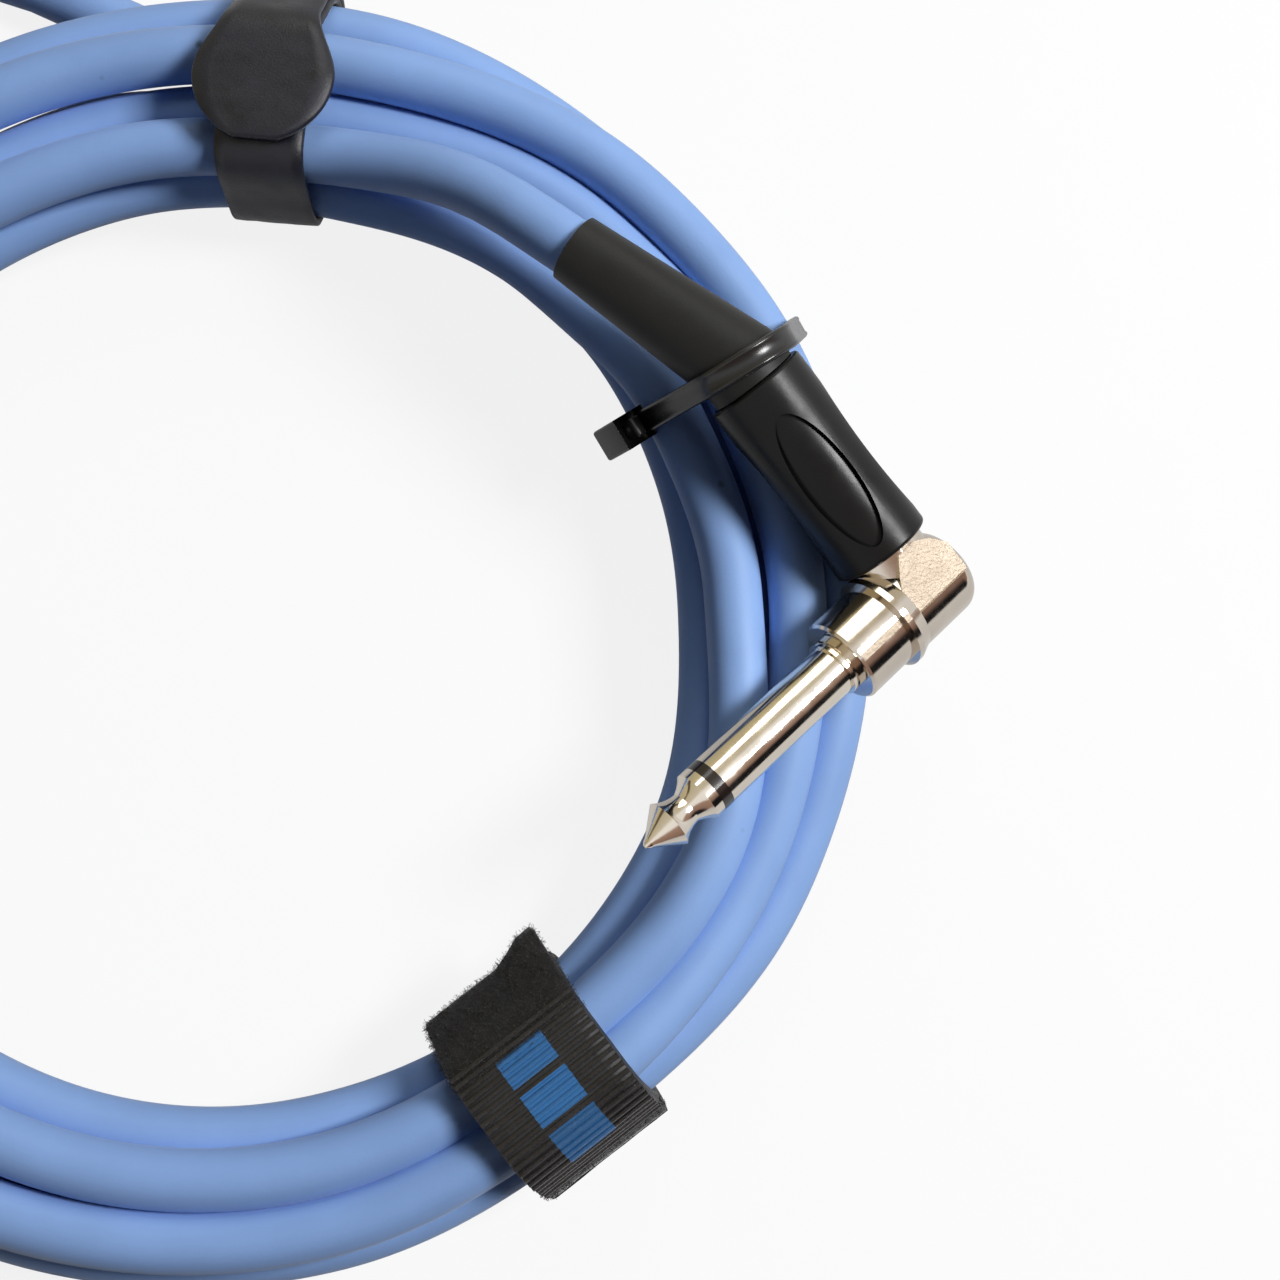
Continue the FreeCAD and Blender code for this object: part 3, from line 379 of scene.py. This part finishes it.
def webbing(name, angle, path, thickness, half, closed=False, nudge=None, pile_rows=(0, 0, 0)):
    """Sheet of webbing along a path, with round selvedges. half gives half of its width at each point,
    and nudge moves a corner. Its outer side has pile from the first to before the second of pile_rows,
    and on as many points as the third says at its far end."""
    bm = bmesh.new()
    pile = bm.verts.layers.float.new("pile")
    pile_from, pile_to, pile_last = pile_rows
    out, side = outward(angle), outward(angle + 90)
    count, rings = len(path), []
    for i, p in enumerate(path):
        before = path[i - 1] if closed or i else p
        after = path[(i + 1) % count] if closed or i < count - 1 else p
        run = (after - before).normalized()
        normal = Vector((run.y, -run.x))
        w = half(i)
        piled = pile_from <= i < pile_to or i >= count - pile_last
        top = [(-w + SELVEDGE + 2 * (w - SELVEDGE) * k / 8, 1.0) for k in range(9)]
        loop = [(-w, 0.5)] + top + [(w, 0.5)] + [(s, 0.0) for s, h in top[::-1]]
        ring = []
        for s, h in loop:
            waver = noise.noise(Vector((i * 0.35, s * 0.5, angle))) * WAVER * (h > 0)
            up = thickness * h + waver
            r, z = p.x + normal.x * up, p.y + normal.y * up
            if nudge:
                dr, dz = nudge(i, s)
                r, z = r + dr, z + dz
            vert = bm.verts.new(coil + (out * r + side * s + Vector((0, 0, max(LOWEST, z)))) / 1000)
            vert[pile] = 1.0 if piled and h > 0 else 0.0
            ring.append(vert)
        rings.append(ring)
    n = len(rings[0])
    for i in range(count if closed else count - 1):
        a, b = rings[i], rings[(i + 1) % count]
        for k in range(n):
            bm.faces.new((a[k], a[(k + 1) % n], b[(k + 1) % n], b[k]))
    if not closed:
        for verts in (rings[0], rings[-1]):
            bm.faces.new((verts[0], verts[1], verts[-1]))
            bm.faces.new((verts[9], verts[10], verts[11]))
            for k in range(1, 9):
                bm.faces.new((verts[k], verts[k + 1], verts[n - 1 - k], verts[n - k]))
    bmesh.ops.recalc_face_normals(bm, faces=bm.faces)
    for face in bm.faces:
        face.smooth = True
    mesh = bpy.data.meshes.new(name)
    bm.to_mesh(mesh)
    bm.free()
    piece = bpy.data.objects.new(name, mesh)
    scene.collection.objects.link(piece)
    return piece


def tree_of(name, sizes):
    """Empty geometry tree with named inputs for its sizes, and its two ends."""
    tree = bpy.data.node_groups.new(name, "GeometryNodeTree")
    tree.interface.new_socket(name="Geometry", in_out="INPUT", socket_type="NodeSocketGeometry")
    for label, kind in sizes:
        tree.interface.new_socket(name=label, in_out="INPUT", socket_type="NodeSocket" + kind)
    tree.interface.new_socket(name="Geometry", in_out="OUTPUT", socket_type="NodeSocketGeometry")
    return tree, tree.nodes.new("NodeGroupInput"), tree.nodes.new("NodeGroupOutput")


def chance(tree, seed, least, most, kind="FLOAT"):
    """Random number or vector between two limits."""
    node = tree.nodes.new("FunctionNodeRandomValue")
    node.data_type = kind
    pick = 0 if kind == "FLOAT_VECTOR" else 2
    node.inputs[pick].default_value, node.inputs[pick + 1].default_value = least, most
    tree.links.new(seed, node.inputs["Seed"])
    return node.outputs[0 if kind == "FLOAT_VECTOR" else 1]


def close_tree(tree, start, end, copies):
    """Makes the copies real and gives them their finish."""
    real, coat = tree.nodes.new("GeometryNodeRealizeInstances"), tree.nodes.new("GeometryNodeSetMaterial")
    tree.links.new(copies, real.inputs[0])
    tree.links.new(real.outputs[0], coat.inputs["Geometry"])
    tree.links.new(start.outputs["Finish"], coat.inputs["Material"])
    tree.links.new(coat.outputs[0], end.inputs[0])


# bars laid across a line at an even pitch, as long as the line's "span": the weft cords of the webbing
bar_tree, start, end = tree_of("bars_across_line", (
    ("Pitch", "Float"), ("Thickness", "Float"), ("Across", "Vector"), ("Seed", "Int"),
    ("Finish", "Material")))
to_curve, spread, shift, copies, bar = (bar_tree.nodes.new("GeometryNode" + kind) for kind in (
    "MeshToCurve", "CurveToPoints", "SetPosition", "InstanceOnPoints", "MeshCylinder"))
lie, span, girth, measure = (bar_tree.nodes.new(kind) for kind in (
    "FunctionNodeAlignRotationToVector", "GeometryNodeInputNamedAttribute", "ShaderNodeMath",
    "ShaderNodeCombineXYZ"))
spread.mode = "LENGTH"
bar.inputs["Vertices"].default_value = 8
bar.inputs["Radius"].default_value = 1
bar.inputs["Depth"].default_value = 1
lie.axis = "Z"
span.data_type = "FLOAT"
span.inputs["Name"].default_value = "span"
girth.operation = "MULTIPLY"
JITTER = 0.00004
link = bar_tree.links.new
link(start.outputs["Geometry"], to_curve.inputs[0])
link(to_curve.outputs[0], spread.inputs["Curve"])
link(start.outputs["Pitch"], spread.inputs["Length"])
link(spread.outputs["Points"], shift.inputs["Geometry"])
link(chance(bar_tree, start.outputs["Seed"], (-JITTER,) * 3, (JITTER,) * 3, "FLOAT_VECTOR"),
     shift.inputs["Offset"])
link(shift.outputs[0], copies.inputs["Points"])
link(bar.outputs["Mesh"], copies.inputs["Instance"])
link(start.outputs["Across"], lie.inputs["Vector"])
link(lie.outputs[0], copies.inputs["Rotation"])
link(start.outputs["Thickness"], girth.inputs[0])
link(chance(bar_tree, start.outputs["Seed"], 0.85, 1.15), girth.inputs[1])
link(girth.outputs[0], measure.inputs[0])
link(girth.outputs[0], measure.inputs[1])
link(span.outputs["Attribute"], measure.inputs[2])
link(measure.outputs[0], copies.inputs["Scale"])
close_tree(bar_tree, start, end, copies.outputs[0])

# short bent fibres standing on a cloth, as thick on it as its "pile": fuzz, loops and hooks
pile_tree, start, end = tree_of("pile_on_cloth", (
    ("Density", "Float"), ("Length", "Float"), ("Lean", "Float"), ("Seed", "Int"), ("Finish", "Material")))
scatter, copies, amount, hair, round_hair, hair_mesh = (
    pile_tree.nodes.new("GeometryNode" + kind) for kind in (
        "DistributePointsOnFaces", "InstanceOnPoints", "InputNamedAttribute", "CurveQuadraticBezier",
        "CurvePrimitiveCircle", "CurveToMesh"))
dense, long, sway, tilted, turned = (pile_tree.nodes.new(kind) for kind in (
    "ShaderNodeMath", "ShaderNodeMath", "ShaderNodeVectorMath", "FunctionNodeEulerToRotation",
    "FunctionNodeRotateRotation"))
amount.data_type = "FLOAT"
amount.inputs["Name"].default_value = "pile"
dense.operation = long.operation = "MULTIPLY"
sway.operation = "SCALE"
turned.rotation_space = "LOCAL"
hair.inputs["Resolution"].default_value = 4
hair.inputs["Start"].default_value, hair.inputs["Middle"].default_value = (0, 0, -0.1), (0, 0, 0.75)
hair.inputs["End"].default_value = (0.55, 0.15, 0.85)
round_hair.inputs["Resolution"].default_value = 3
round_hair.inputs["Radius"].default_value = 0.045
link = pile_tree.links.new
link(start.outputs["Geometry"], scatter.inputs["Mesh"])
link(start.outputs["Density"], dense.inputs[0])
link(amount.outputs["Attribute"], dense.inputs[1])
link(dense.outputs[0], scatter.inputs["Density"])
link(start.outputs["Seed"], scatter.inputs["Seed"])
link(scatter.outputs["Points"], copies.inputs["Points"])
link(chance(pile_tree, start.outputs["Seed"], (-1, -1, -3.1), (1, 1, 3.1), "FLOAT_VECTOR"), sway.inputs[0])
link(start.outputs["Lean"], sway.inputs["Scale"])
link(sway.outputs[0], tilted.inputs[0])
link(scatter.outputs["Rotation"], turned.inputs["Rotation"])
link(tilted.outputs[0], turned.inputs["Rotate By"])
link(turned.outputs[0], copies.inputs["Rotation"])
link(hair.outputs[0], hair_mesh.inputs["Curve"])
link(round_hair.outputs[0], hair_mesh.inputs["Profile Curve"])
link(hair_mesh.outputs[0], copies.inputs["Instance"])
link(start.outputs["Length"], long.inputs[0])
link(chance(pile_tree, start.outputs["Seed"], 0.45, 1.25), long.inputs[1])
link(long.outputs[0], copies.inputs["Scale"])
close_tree(pile_tree, start, end, copies.outputs[0])


def grow(name, base, tree, **sizes):
    """Runs a geometry tree on a copy of a mesh and returns its result as a plain piece."""
    carrier = bpy.data.objects.new("carrier", base.copy())
    scene.collection.objects.link(carrier)
    modifier = carrier.modifiers.new("grow", "NODES")
    modifier.node_group = tree
    for socket in tree.interface.items_tree:
        if socket.in_out == "INPUT" and socket.name in sizes:
            modifier[socket.identifier] = sizes[socket.name]
    grown = bpy.data.meshes.new_from_object(carrier.evaluated_get(bpy.context.evaluated_depsgraph_get()))
    bpy.data.objects.remove(carrier)
    grown.name = name
    piece = bpy.data.objects.new(name, grown)
    scene.collection.objects.link(piece)
    return piece


CORD_SHORT = 0.3


def ribs(name, angle, path, lift, half, pitch, thickness, seed, made):
    """Weft cords that show as ribs across the webbing, on its outer side, a little short of its edges."""
    out = outward(angle)
    places = []
    for i, p in enumerate(path):
        run = (path[min(i + 1, len(path) - 1)] - path[max(i - 1, 0)]).normalized()
        q = p + Vector((run.y, -run.x)) * lift
        places.append(coil + (out * q.x + Vector((0, 0, q.y))) / 1000)
    line = bpy.data.meshes.new(name)
    line.from_pydata(places, [(i, i + 1) for i in range(len(places) - 1)], [])
    span = line.attributes.new("span", "FLOAT", "POINT")
    for i in range(len(places)):
        span.data[i].value = (2 * half(i) - CORD_SHORT) / 1000
    return grow(name, line, bar_tree, Pitch=pitch / 1000, Thickness=thickness / 1000,
                Across=outward(angle + 90), Seed=seed, Finish=made)


def fabric(name, colour, roughness, grain, bump):
    """Finish of dark nylon cloth: patchy, with a faint sheen."""
    made, tree, shader = finish(name, colour, roughness, mottle=0.45, patch=260, grain=grain, bump=bump,
                                wear=0.2)
    shader.inputs["Sheen Weight"].default_value = 0.25
    shader.inputs["Sheen Roughness"].default_value = 0.35
    shader.inputs["Specular IOR Level"].default_value = 0.4
    return made, tree, shader


def printed(tree, shader, angle, blocks, colour):
    """Plain printed blocks on the webbing. Each is a range of radius in mm, how far it reaches to
    each side, and how strong its ink is."""
    link, new = tree.links.new, tree.nodes.new
    total = None
    for near, far, reach, strength in blocks:
        shares = []
        for axis, middle, half in ((outward(angle), (near + far) / 2, (far - near) / 2),
                                   (outward(angle + 90), 0.0, reach)):
            along = new("ShaderNodeVectorMath")
            off, size, edge = (new("ShaderNodeMath") for _ in range(3))
            along.operation = "DOT_PRODUCT"
            off.operation, size.operation, edge.operation = "SUBTRACT", "ABSOLUTE", "LESS_THAN"
            along.inputs[1].default_value = axis
            off.inputs[1].default_value = coil.dot(axis) + middle / 1000
            edge.inputs[1].default_value = half / 1000
            link(tree.nodes["Texture Coordinate"].outputs["Object"], along.inputs[0])
            link(along.outputs["Value"], off.inputs[0])
            link(off.outputs[0], size.inputs[0])
            link(size.outputs[0], edge.inputs[0])
            shares.append(edge.outputs[0])
        both, inked = new("ShaderNodeMath"), new("ShaderNodeMath")
        both.operation, inked.operation = "MULTIPLY", "MULTIPLY_ADD"
        inked.inputs[1].default_value = strength
        inked.inputs[2].default_value = 0
        link(shares[0], both.inputs[0])
        link(shares[1], both.inputs[1])
        link(both.outputs[0], inked.inputs[0])
        if total:
            link(total, inked.inputs[2])
        total = inked.outputs[0]
    ink = new("ShaderNodeMix")
    ink.data_type = "RGBA"
    ink.inputs[7].default_value = (*colour, 1)
    link(total, ink.inputs["Factor"])
    link(tree.nodes["tint"].outputs["Color"], ink.inputs[6])
    link(ink.outputs[2], shader.inputs["Base Color"])


def fit(piece, body, slot, *replaced, made=None):
    """Puts a piece on its body, in place of the CAD pieces named, with its finish. Its slot is not used."""
    if made:
        piece.data.materials.clear()
        piece.data.materials.append(made)
    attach(piece, body)
    if replaced:
        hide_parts(*replaced)


# thicknesses of a strap's layers in mm, and how far each stands off the strands
WEB, FOLD, HOOK_TAPE = 1.0, 1.7, 0.4
BAND_OFF, FOLD_OFF, TAPE_OFF, FLAP_OFF = 0.3, 1.25, 1.3, 1.9
# Heights in mm on the outer side, where the first points of each line climb: the fold ends below the
# flap's start, and the hook tape starts above it. The flap ends at a height on the inner side.
FOLD_START, FOLD_TOP, FLAP_START, TAPE_START, OUTER_SIDE, FLAP_END = 3.0, 9.7, 10.35, 11.0, 60, 10.0


def sewn_band(prefix, angle, half):
    """Closed band round the bundle, and the fold at its outer side that the flap is sewn into."""
    band_path = wrap(angle, half + 1, BAND_OFF)
    band = webbing(prefix + "_band_webbing", angle, band_path, WEB, lambda i: half, closed=True)
    fold_path = [p for p in wrap(angle, half + 1, FOLD_OFF, start=FOLD_START)[:40]
                 if p.y < FOLD_TOP and p.x > OUTER_SIDE]
    return band, webbing(prefix + "_fold", angle, fold_path, FOLD, lambda i: half)


web, tree, shader = fabric("black_webbing", (0.012, 0.0115, 0.012), 0.5, 4200, 0.00012)
fuzz, tree, shader = fabric("fuzz", (0.022, 0.019, 0.016), 0.75, 3000, 0.00005)
hooks, tree, shader = fabric("hook_tape", (0.015, 0.015, 0.015), 0.45, 2400, 0.00004)

# its clock angle on the coil, and half of its width
LONG, LONG_HALF = 142.6, 8.5
band, fold = sewn_band("strap", LONG, LONG_HALF)
lap_path = wrap(LONG, LONG_HALF + 1, FLAP_OFF, start=FLAP_START)
last = max(i for i, p in enumerate(lap_path[:80]) if p.y > FLAP_END)
lap_path = lap_path[:last + 1]
# points over which the flap's end curls up
CURL = 12


def peeled(i, s):
    """The flap's inner end stands a little off, most of all at one corner."""
    back = max(0.0, (i - (len(lap_path) - 1 - CURL)) / CURL)
    corner = min(0.8, max(0.0, (-s - 2.5) / 5.0))
    return -(0.6 * back + 2.0 * corner * back) * back, (0.3 * back + 1.4 * corner) * back


lap = webbing("strap_flap_webbing", LONG, lap_path, WEB, lambda i: LONG_HALF, nudge=peeled,
              pile_rows=(3, 6, 19))
patch_path = [p for p in wrap(LONG, LONG_HALF + 1, TAPE_OFF)[2:60] if p.y > TAPE_START]
patch = webbing("strap_hook_tape", LONG, patch_path, HOOK_TAPE, lambda i: LONG_HALF - 0.5,
                pile_rows=(0, 99, 0))
blocks = ((62.4, 65.9, 3.1, 0.8), (66.9, 71.2, 3.1, 0.85), (72.2, 76.4, 3.1, 0.6))
blue_ink = (0.035, 0.19, 0.47)
printed_web, tree, shader = fabric("printed_webbing", (0.012, 0.0115, 0.012), 0.5, 4200, 0.00012)
printed(tree, shader, LONG, blocks, blue_ink)
printed_cords, tree, shader = fabric("printed_cords", (0.014, 0.0135, 0.0145), 0.24, 5200, 0.00012)
shader.inputs["Specular IOR Level"].default_value = 0.6
printed(tree, shader, LONG, blocks, blue_ink)
fit(band, "lead", "strap_black", "strap_band", made=web)
fit(fold, "lead", "strap_black", made=web)
fit(lap, "strap_end", "strap_black", "strap_flap", made=printed_web)
fit(patch, "lead", "strap_black", "strap_hook_patch", made=hooks)
# the cords stop short of the flap's fuzzy ends
cords = ribs("strap_flap_ribs", LONG, lap_path[4:-16], lift=1.02, half=lambda i: LONG_HALF, pitch=1.0,
             thickness=0.34, seed=5, made=printed_cords)
fit(cords, "strap_end", "strap_black")
loops = grow("strap_flap_fuzz", lap.data, pile_tree, Density=1.9e7, Length=0.00055, Lean=0.9, Seed=3,
             Finish=fuzz)
fit(loops, "strap_end", "strap_black")


def hooks_on(name, tape, seed):
    """Short stiff hooks on a strap's hook tape."""
    fit(grow(name, tape.data, pile_tree, Density=3.5e6, Length=0.00032, Lean=0.15, Seed=seed, Finish=hooks),
        "lead", "strap_black")


hooks_on("strap_hooks", patch, 8)

# ---- short strap ----
# The same kind of strap at the top of the coil, narrower, smooth and dark navy. Its flap widens into
# a round end, which lies on the hooks.

# its clock angle, half of its width and of its round end's, and how far in the end and the tape reach
SHORT, SHORT_HALF, ROUND_END, ROUND_TIP, TAPE_TIP = 5.1, 5.5, 8.7, 57.0, 61.0
smooth, tree, shader = fabric("navy_webbing", (0.009, 0.010, 0.017), 0.42, 3800, 0.00005)
band, fold = sewn_band("top_strap", SHORT, SHORT_HALF)
lap_path = [p for p in wrap(SHORT, 9.0, FLAP_OFF, start=FLAP_START)[:70]
            if p.y > FLAP_END and p.x > ROUND_TIP]


def flap_half(i):
    """Band's width at the outer side, widening to the round end's."""
    past = lap_path[i].x - ROUND_TIP
    if past < ROUND_END:
        return max(1.2, math.sqrt(max(0.0, ROUND_END ** 2 - (ROUND_END - past) ** 2)))
    return ROUND_END + (SHORT_HALF - ROUND_END) * eased(min(1.0, (past - ROUND_END) / 10.0))


lap = webbing("top_strap_flap_webbing", SHORT, lap_path, WEB, flap_half, pile_rows=(0, 0, 8))
patch_path = [p for p in wrap(SHORT, SHORT_HALF + 1, TAPE_OFF)[2:60] if p.y > TAPE_START and p.x > TAPE_TIP]
patch = webbing("top_strap_hook_tape", SHORT, patch_path, HOOK_TAPE, lambda i: SHORT_HALF - 0.5,
                pile_rows=(0, 99, 0))
fit(band, "lead", "strap_black", "top_strap_band", made=smooth)
fit(fold, "lead", "strap_black", made=smooth)
fit(lap, "top_strap_end", "strap_black", "top_strap_flap", made=smooth)
fit(patch, "lead", "strap_black", "top_strap_hook_patch", made=hooks)
hooks_on("top_strap_hooks", patch, 9)

# ---- cable tie ----
# Black nylon tie drawn tight round the coil and the right-angle plug's strain relief: smooth strap
# with round edges, and a square locking head on the inner side that its cut end comes out of.

# its clock angle, how far it leans, and the middle of the strain relief where it is held
TIE, TIE_LEAN, HELD = 58.1, math.radians(14), Vector((63.05, 27.5, 25.81))
out, side = outward(TIE), outward(TIE + 90)
lean_up = side * math.sin(TIE_LEAN) + Vector((0, 0, math.cos(TIE_LEAN)))
lean_side = side * math.cos(TIE_LEAN) - Vector((0, 0, math.sin(TIE_LEAN)))
aside = HELD.dot(side) - HELD.z * math.tan(TIE_LEAN)


def in_tie(x, across, up):
    """Place in the tie's own leaning plane, in mm."""
    return coil + (side * aside + out * x + lean_side * across + lean_up * up) / 1000


# what it is drawn round, with a little clearance: the strain relief, and the strands beside it
RELIEF_RADIUS, STRAND_RADIUS, NEAR_TIE, COIL_TOP = 5.95, 3.8, 2.6, 18
discs = [(HELD.dot(out), HELD.z / math.cos(TIE_LEAN), RELIEF_RADIUS)]
for p in strands:
    rel = (p - coil) * 1000 - side * aside
    if abs(rel.dot(lean_side)) < NEAR_TIE and rel.dot(out) > BUNDLE_IN * 1000 and rel.z < COIL_TOP:
        discs.append((rel.dot(out), rel.dot(lean_up), STRAND_RADIUS))
path = tight(discs, LINE_STEP, start=8.0)
# section of the strap, as (across, up) in mm: round edges, and a rim along each side of the top
tie_section = ((-1.4, 0.25), (-1.25, 0.05), (-0.6, 0.0), (0.6, 0.0), (1.25, 0.05), (1.4, 0.25),
               (1.4, 0.85), (1.22, 1.1), (0.95, 1.16), (0.8, 1.04), (-0.8, 1.04), (-0.95, 1.16),
               (-1.22, 1.1), (-1.4, 0.85))
bm = bmesh.new()
rings = []
for i, p in enumerate(path):
    run = (path[(i + 1) % len(path)] - path[i - 1]).normalized()
    normal = Vector((run.y, -run.x))
    loop = []
    for across, up in tie_section:
        q = p + normal * up
        loop.append(bm.verts.new(in_tie(q.x, across, q.y)))
    rings.append(loop)
for a, b in zip(rings, rings[1:] + rings[:1]):
    for k in range(len(a)):
        bm.faces.new((a[k], a[(k + 1) % len(a)], b[(k + 1) % len(a)], b[k]))
# locking head: block with a window where the strap comes out, and the cut end standing in it
HEAD_HEIGHT, HEAD_SUNK, WINDOW_DEPTH = 14.5, 0.8, 0.0011
head_up = HEAD_HEIGHT / math.cos(TIE_LEAN)
head_in = min(p.x for p in path if abs(p.y - head_up) < 0.8) - HEAD_SUNK
head_turn = math.radians(28)


def in_head(x, across, up):
    """Place in the head, which is turned a little in the tie's plane, in mm."""
    return in_tie(head_in + x * math.cos(head_turn) + up * math.sin(head_turn), across,
                  head_up - x * math.sin(head_turn) + up * math.cos(head_turn))


def head_block(xs, half, ups, rounding, wall=0.0):
    """Block of the head, with a sunk window inside its wall if it has one."""
    corners = [bm.verts.new(in_head(x, a, u)) for x in xs for a in (-half, half) for u in ups]
    faces = [bm.faces.new([corners[k] for k in ids]) for ids in
             ((0, 1, 3, 2), (4, 6, 7, 5), (0, 4, 5, 1), (2, 3, 7, 6), (0, 2, 6, 4), (1, 5, 7, 3))]
    if wall:
        bmesh.ops.inset_individual(bm, faces=[faces[5]], thickness=wall)
        for vert in faces[5].verts:
            vert.co -= lean_up * WINDOW_DEPTH
    edges = list(dict.fromkeys(e for f in faces[:5] for e in f.edges))
    bmesh.ops.bevel(bm, geom=edges, offset=rounding, segments=3, profile=0.5, affect="EDGES")


head_block((-4.4, 0.4), 2.0, (-2.6, 2.6), 0.00035, wall=0.00075)
head_block((-2.9, -1.7), 1.2, (0.4, 3.8), 0.0002)
# bevelling leaves its faces in no fixed order, so they are put in one, along a slanting line
bm.faces.sort(key=lambda face: face.calc_center_median().dot(Vector((1, 0.618, 0.377))))
bmesh.ops.recalc_face_normals(bm, faces=bm.faces)
for face in bm.faces:
    face.smooth = True
mesh = bpy.data.meshes.new("cable_tie_nylon")
bm.to_mesh(mesh)
bm.free()
tie = bpy.data.objects.new("cable_tie_nylon", mesh)
scene.collection.objects.link(tie)
nylon, tree, shader = finish("black_nylon", (0.012, 0.012, 0.0125), 0.27, mottle=0.2, patch=160, grain=2400,
                             bump=0.000008)
fit(tie, "lead", "nylon_black", "cable_tie", made=nylon)

# ---- floor and light ----
# White sheet that the lead lies on, a window light half way up on the right, a weaker one behind it,
# and a room that shows in the polished metal.
floor_mesh = bpy.data.meshes.new("floor")
floor_mesh.from_pydata([(-3, -3, 0), (3, -3, 0), (3, 3, 0), (-3, 3, 0)], [], [(0, 1, 2, 3)])
floor = bpy.data.objects.new("floor", floor_mesh)
scene.collection.objects.link(floor)
paper, tree, shader = finish("paper", (0.12, 0.12, 0.12), 0.9, mottle=0.01, bump=0)
link, new = tree.links.new, tree.nodes.new
rays, white, mix, tone = (new("ShaderNode" + kind) for kind in ("LightPath", "Emission", "MixShader", "Mix"))
seen, seen_too, mirrored, glow = (new("ShaderNodeMath") for _ in range(4))
seen.operation = seen_too.operation = "MAXIMUM"
mirrored.operation = glow.operation = "MULTIPLY"
# in the metal it shows half as bright
mirrored.inputs[1].default_value = 0.5
link(rays.outputs["Is Glossy Ray"], mirrored.inputs[0])
link(rays.outputs["Is Camera Ray"], seen_too.inputs[0])
link(mirrored.outputs[0], seen_too.inputs[1])
link(seen_too.outputs[0], seen.inputs[0])
link(rays.outputs["Is Transmission Ray"], seen.inputs[1])
# most of the white is its own, and the rest is lit, so that the lead's shadow shows
glow.inputs[1].default_value = 0.86
link(seen.outputs[0], glow.inputs[0])
link(glow.outputs[0], mix.inputs["Fac"])
# to light that bounces it is darker, so that it throws little back up on the lead
tone.data_type = "RGBA"
tone.inputs[6].default_value, tone.inputs[7].default_value = (0.12, 0.12, 0.12, 1), (0.9, 0.9, 0.9, 1)
link(seen.outputs[0], tone.inputs["Factor"])
link(tone.outputs[2], shader.inputs["Base Color"])
link(shader.outputs[0], mix.inputs[1])
link(white.outputs[0], mix.inputs[2])
link(mix.outputs[0], tree.nodes["Material Output"].inputs["Surface"])
floor_mesh.materials.append(paper)

LAMP_DISTANCE = 0.7
for name, azimuth, elevation, energy, width in (("window", 12, 45, 4.8, 0.2), ("back", 85, 35, 1.0, 0.35)):
    lamp = bpy.data.objects.new(name, bpy.data.lights.new(name, "AREA"))
    scene.collection.objects.link(lamp)
    a, e = math.radians(azimuth), math.radians(elevation)
    towards = Vector((math.cos(a) * math.cos(e), math.sin(a) * math.cos(e), math.sin(e)))
    lamp.location = coil + Vector((0.05, 0, 0.01)) + towards * LAMP_DISTANCE
    lamp.rotation_euler = towards.to_track_quat("Z", "Y").to_euler()
    lamp.data.energy = energy
    lamp.data.size = width

world = bpy.data.worlds.new("room")
scene.world = world
world.use_nodes = True
tree = world.node_tree
room = tree.nodes["Background"]
link, new = tree.links.new, tree.nodes.new
# what the metal mirrors: bands of bright wall and dark furniture, from one side of the shank to the
# other; the rest of the lead is lit dimly and evenly from all round
beside = Vector((-shank.y, shank.x, 0)).normalized()
if beside.y > 0:
    beside = -beside
place, along, bands = new("ShaderNodeTexCoord"), new("ShaderNodeVectorMath"), new("ShaderNodeValToRGB")
along.operation = "DOT_PRODUCT"
along.inputs[1].default_value = beside
spread_out = new("ShaderNodeMapRange")
spread_out.inputs["From Min"].default_value = -1
link(place.outputs["Generated"], along.inputs[0])
link(along.outputs["Value"], spread_out.inputs["Value"])
link(spread_out.outputs["Result"], bands.inputs["Fac"])
ramp = bands.color_ramp
# where each band's edge is, and its colour
stops = ((0.0, (0.48, 0.43, 0.28)), (0.13, (0.60, 0.53, 0.34)), (0.15, (0.09, 0.06, 0.04)),
         (0.18, (0.09, 0.06, 0.04)), (0.20, (0.56, 0.50, 0.36)), (0.42, (0.66, 0.61, 0.50)),
         (0.50, (0.95, 0.95, 0.95)), (0.67, (0.95, 0.95, 0.95)), (0.72, (0.40, 0.27, 0.21)),
         (0.87, (0.30, 0.19, 0.15)), (0.92, (0.010, 0.010, 0.012)), (1.0, (0.010, 0.010, 0.012)))
ramp.elements[0].position, ramp.elements[0].color = stops[0][0], (*stops[0][1], 1)
ramp.elements[1].position, ramp.elements[1].color = stops[-1][0], (*stops[-1][1], 1)
for position, colour in stops[1:-1]:
    ramp.elements.new(position).color = (*colour, 1)
rays = new("ShaderNodeLightPath")
by_ray, by_eye = new("ShaderNodeMix"), new("ShaderNodeMix")
by_ray.data_type = by_eye.data_type = "RGBA"
by_ray.inputs[6].default_value = (0.035, 0.037, 0.048, 1)
by_eye.inputs[7].default_value = (1, 1, 1, 1)
link(rays.outputs["Is Glossy Ray"], by_ray.inputs["Factor"])
link(bands.outputs["Color"], by_ray.inputs[7])
link(rays.outputs["Is Camera Ray"], by_eye.inputs["Factor"])
link(by_ray.outputs[2], by_eye.inputs[6])
link(by_eye.outputs[2], room.inputs["Color"])

scene.view_settings.view_transform = "Standard"
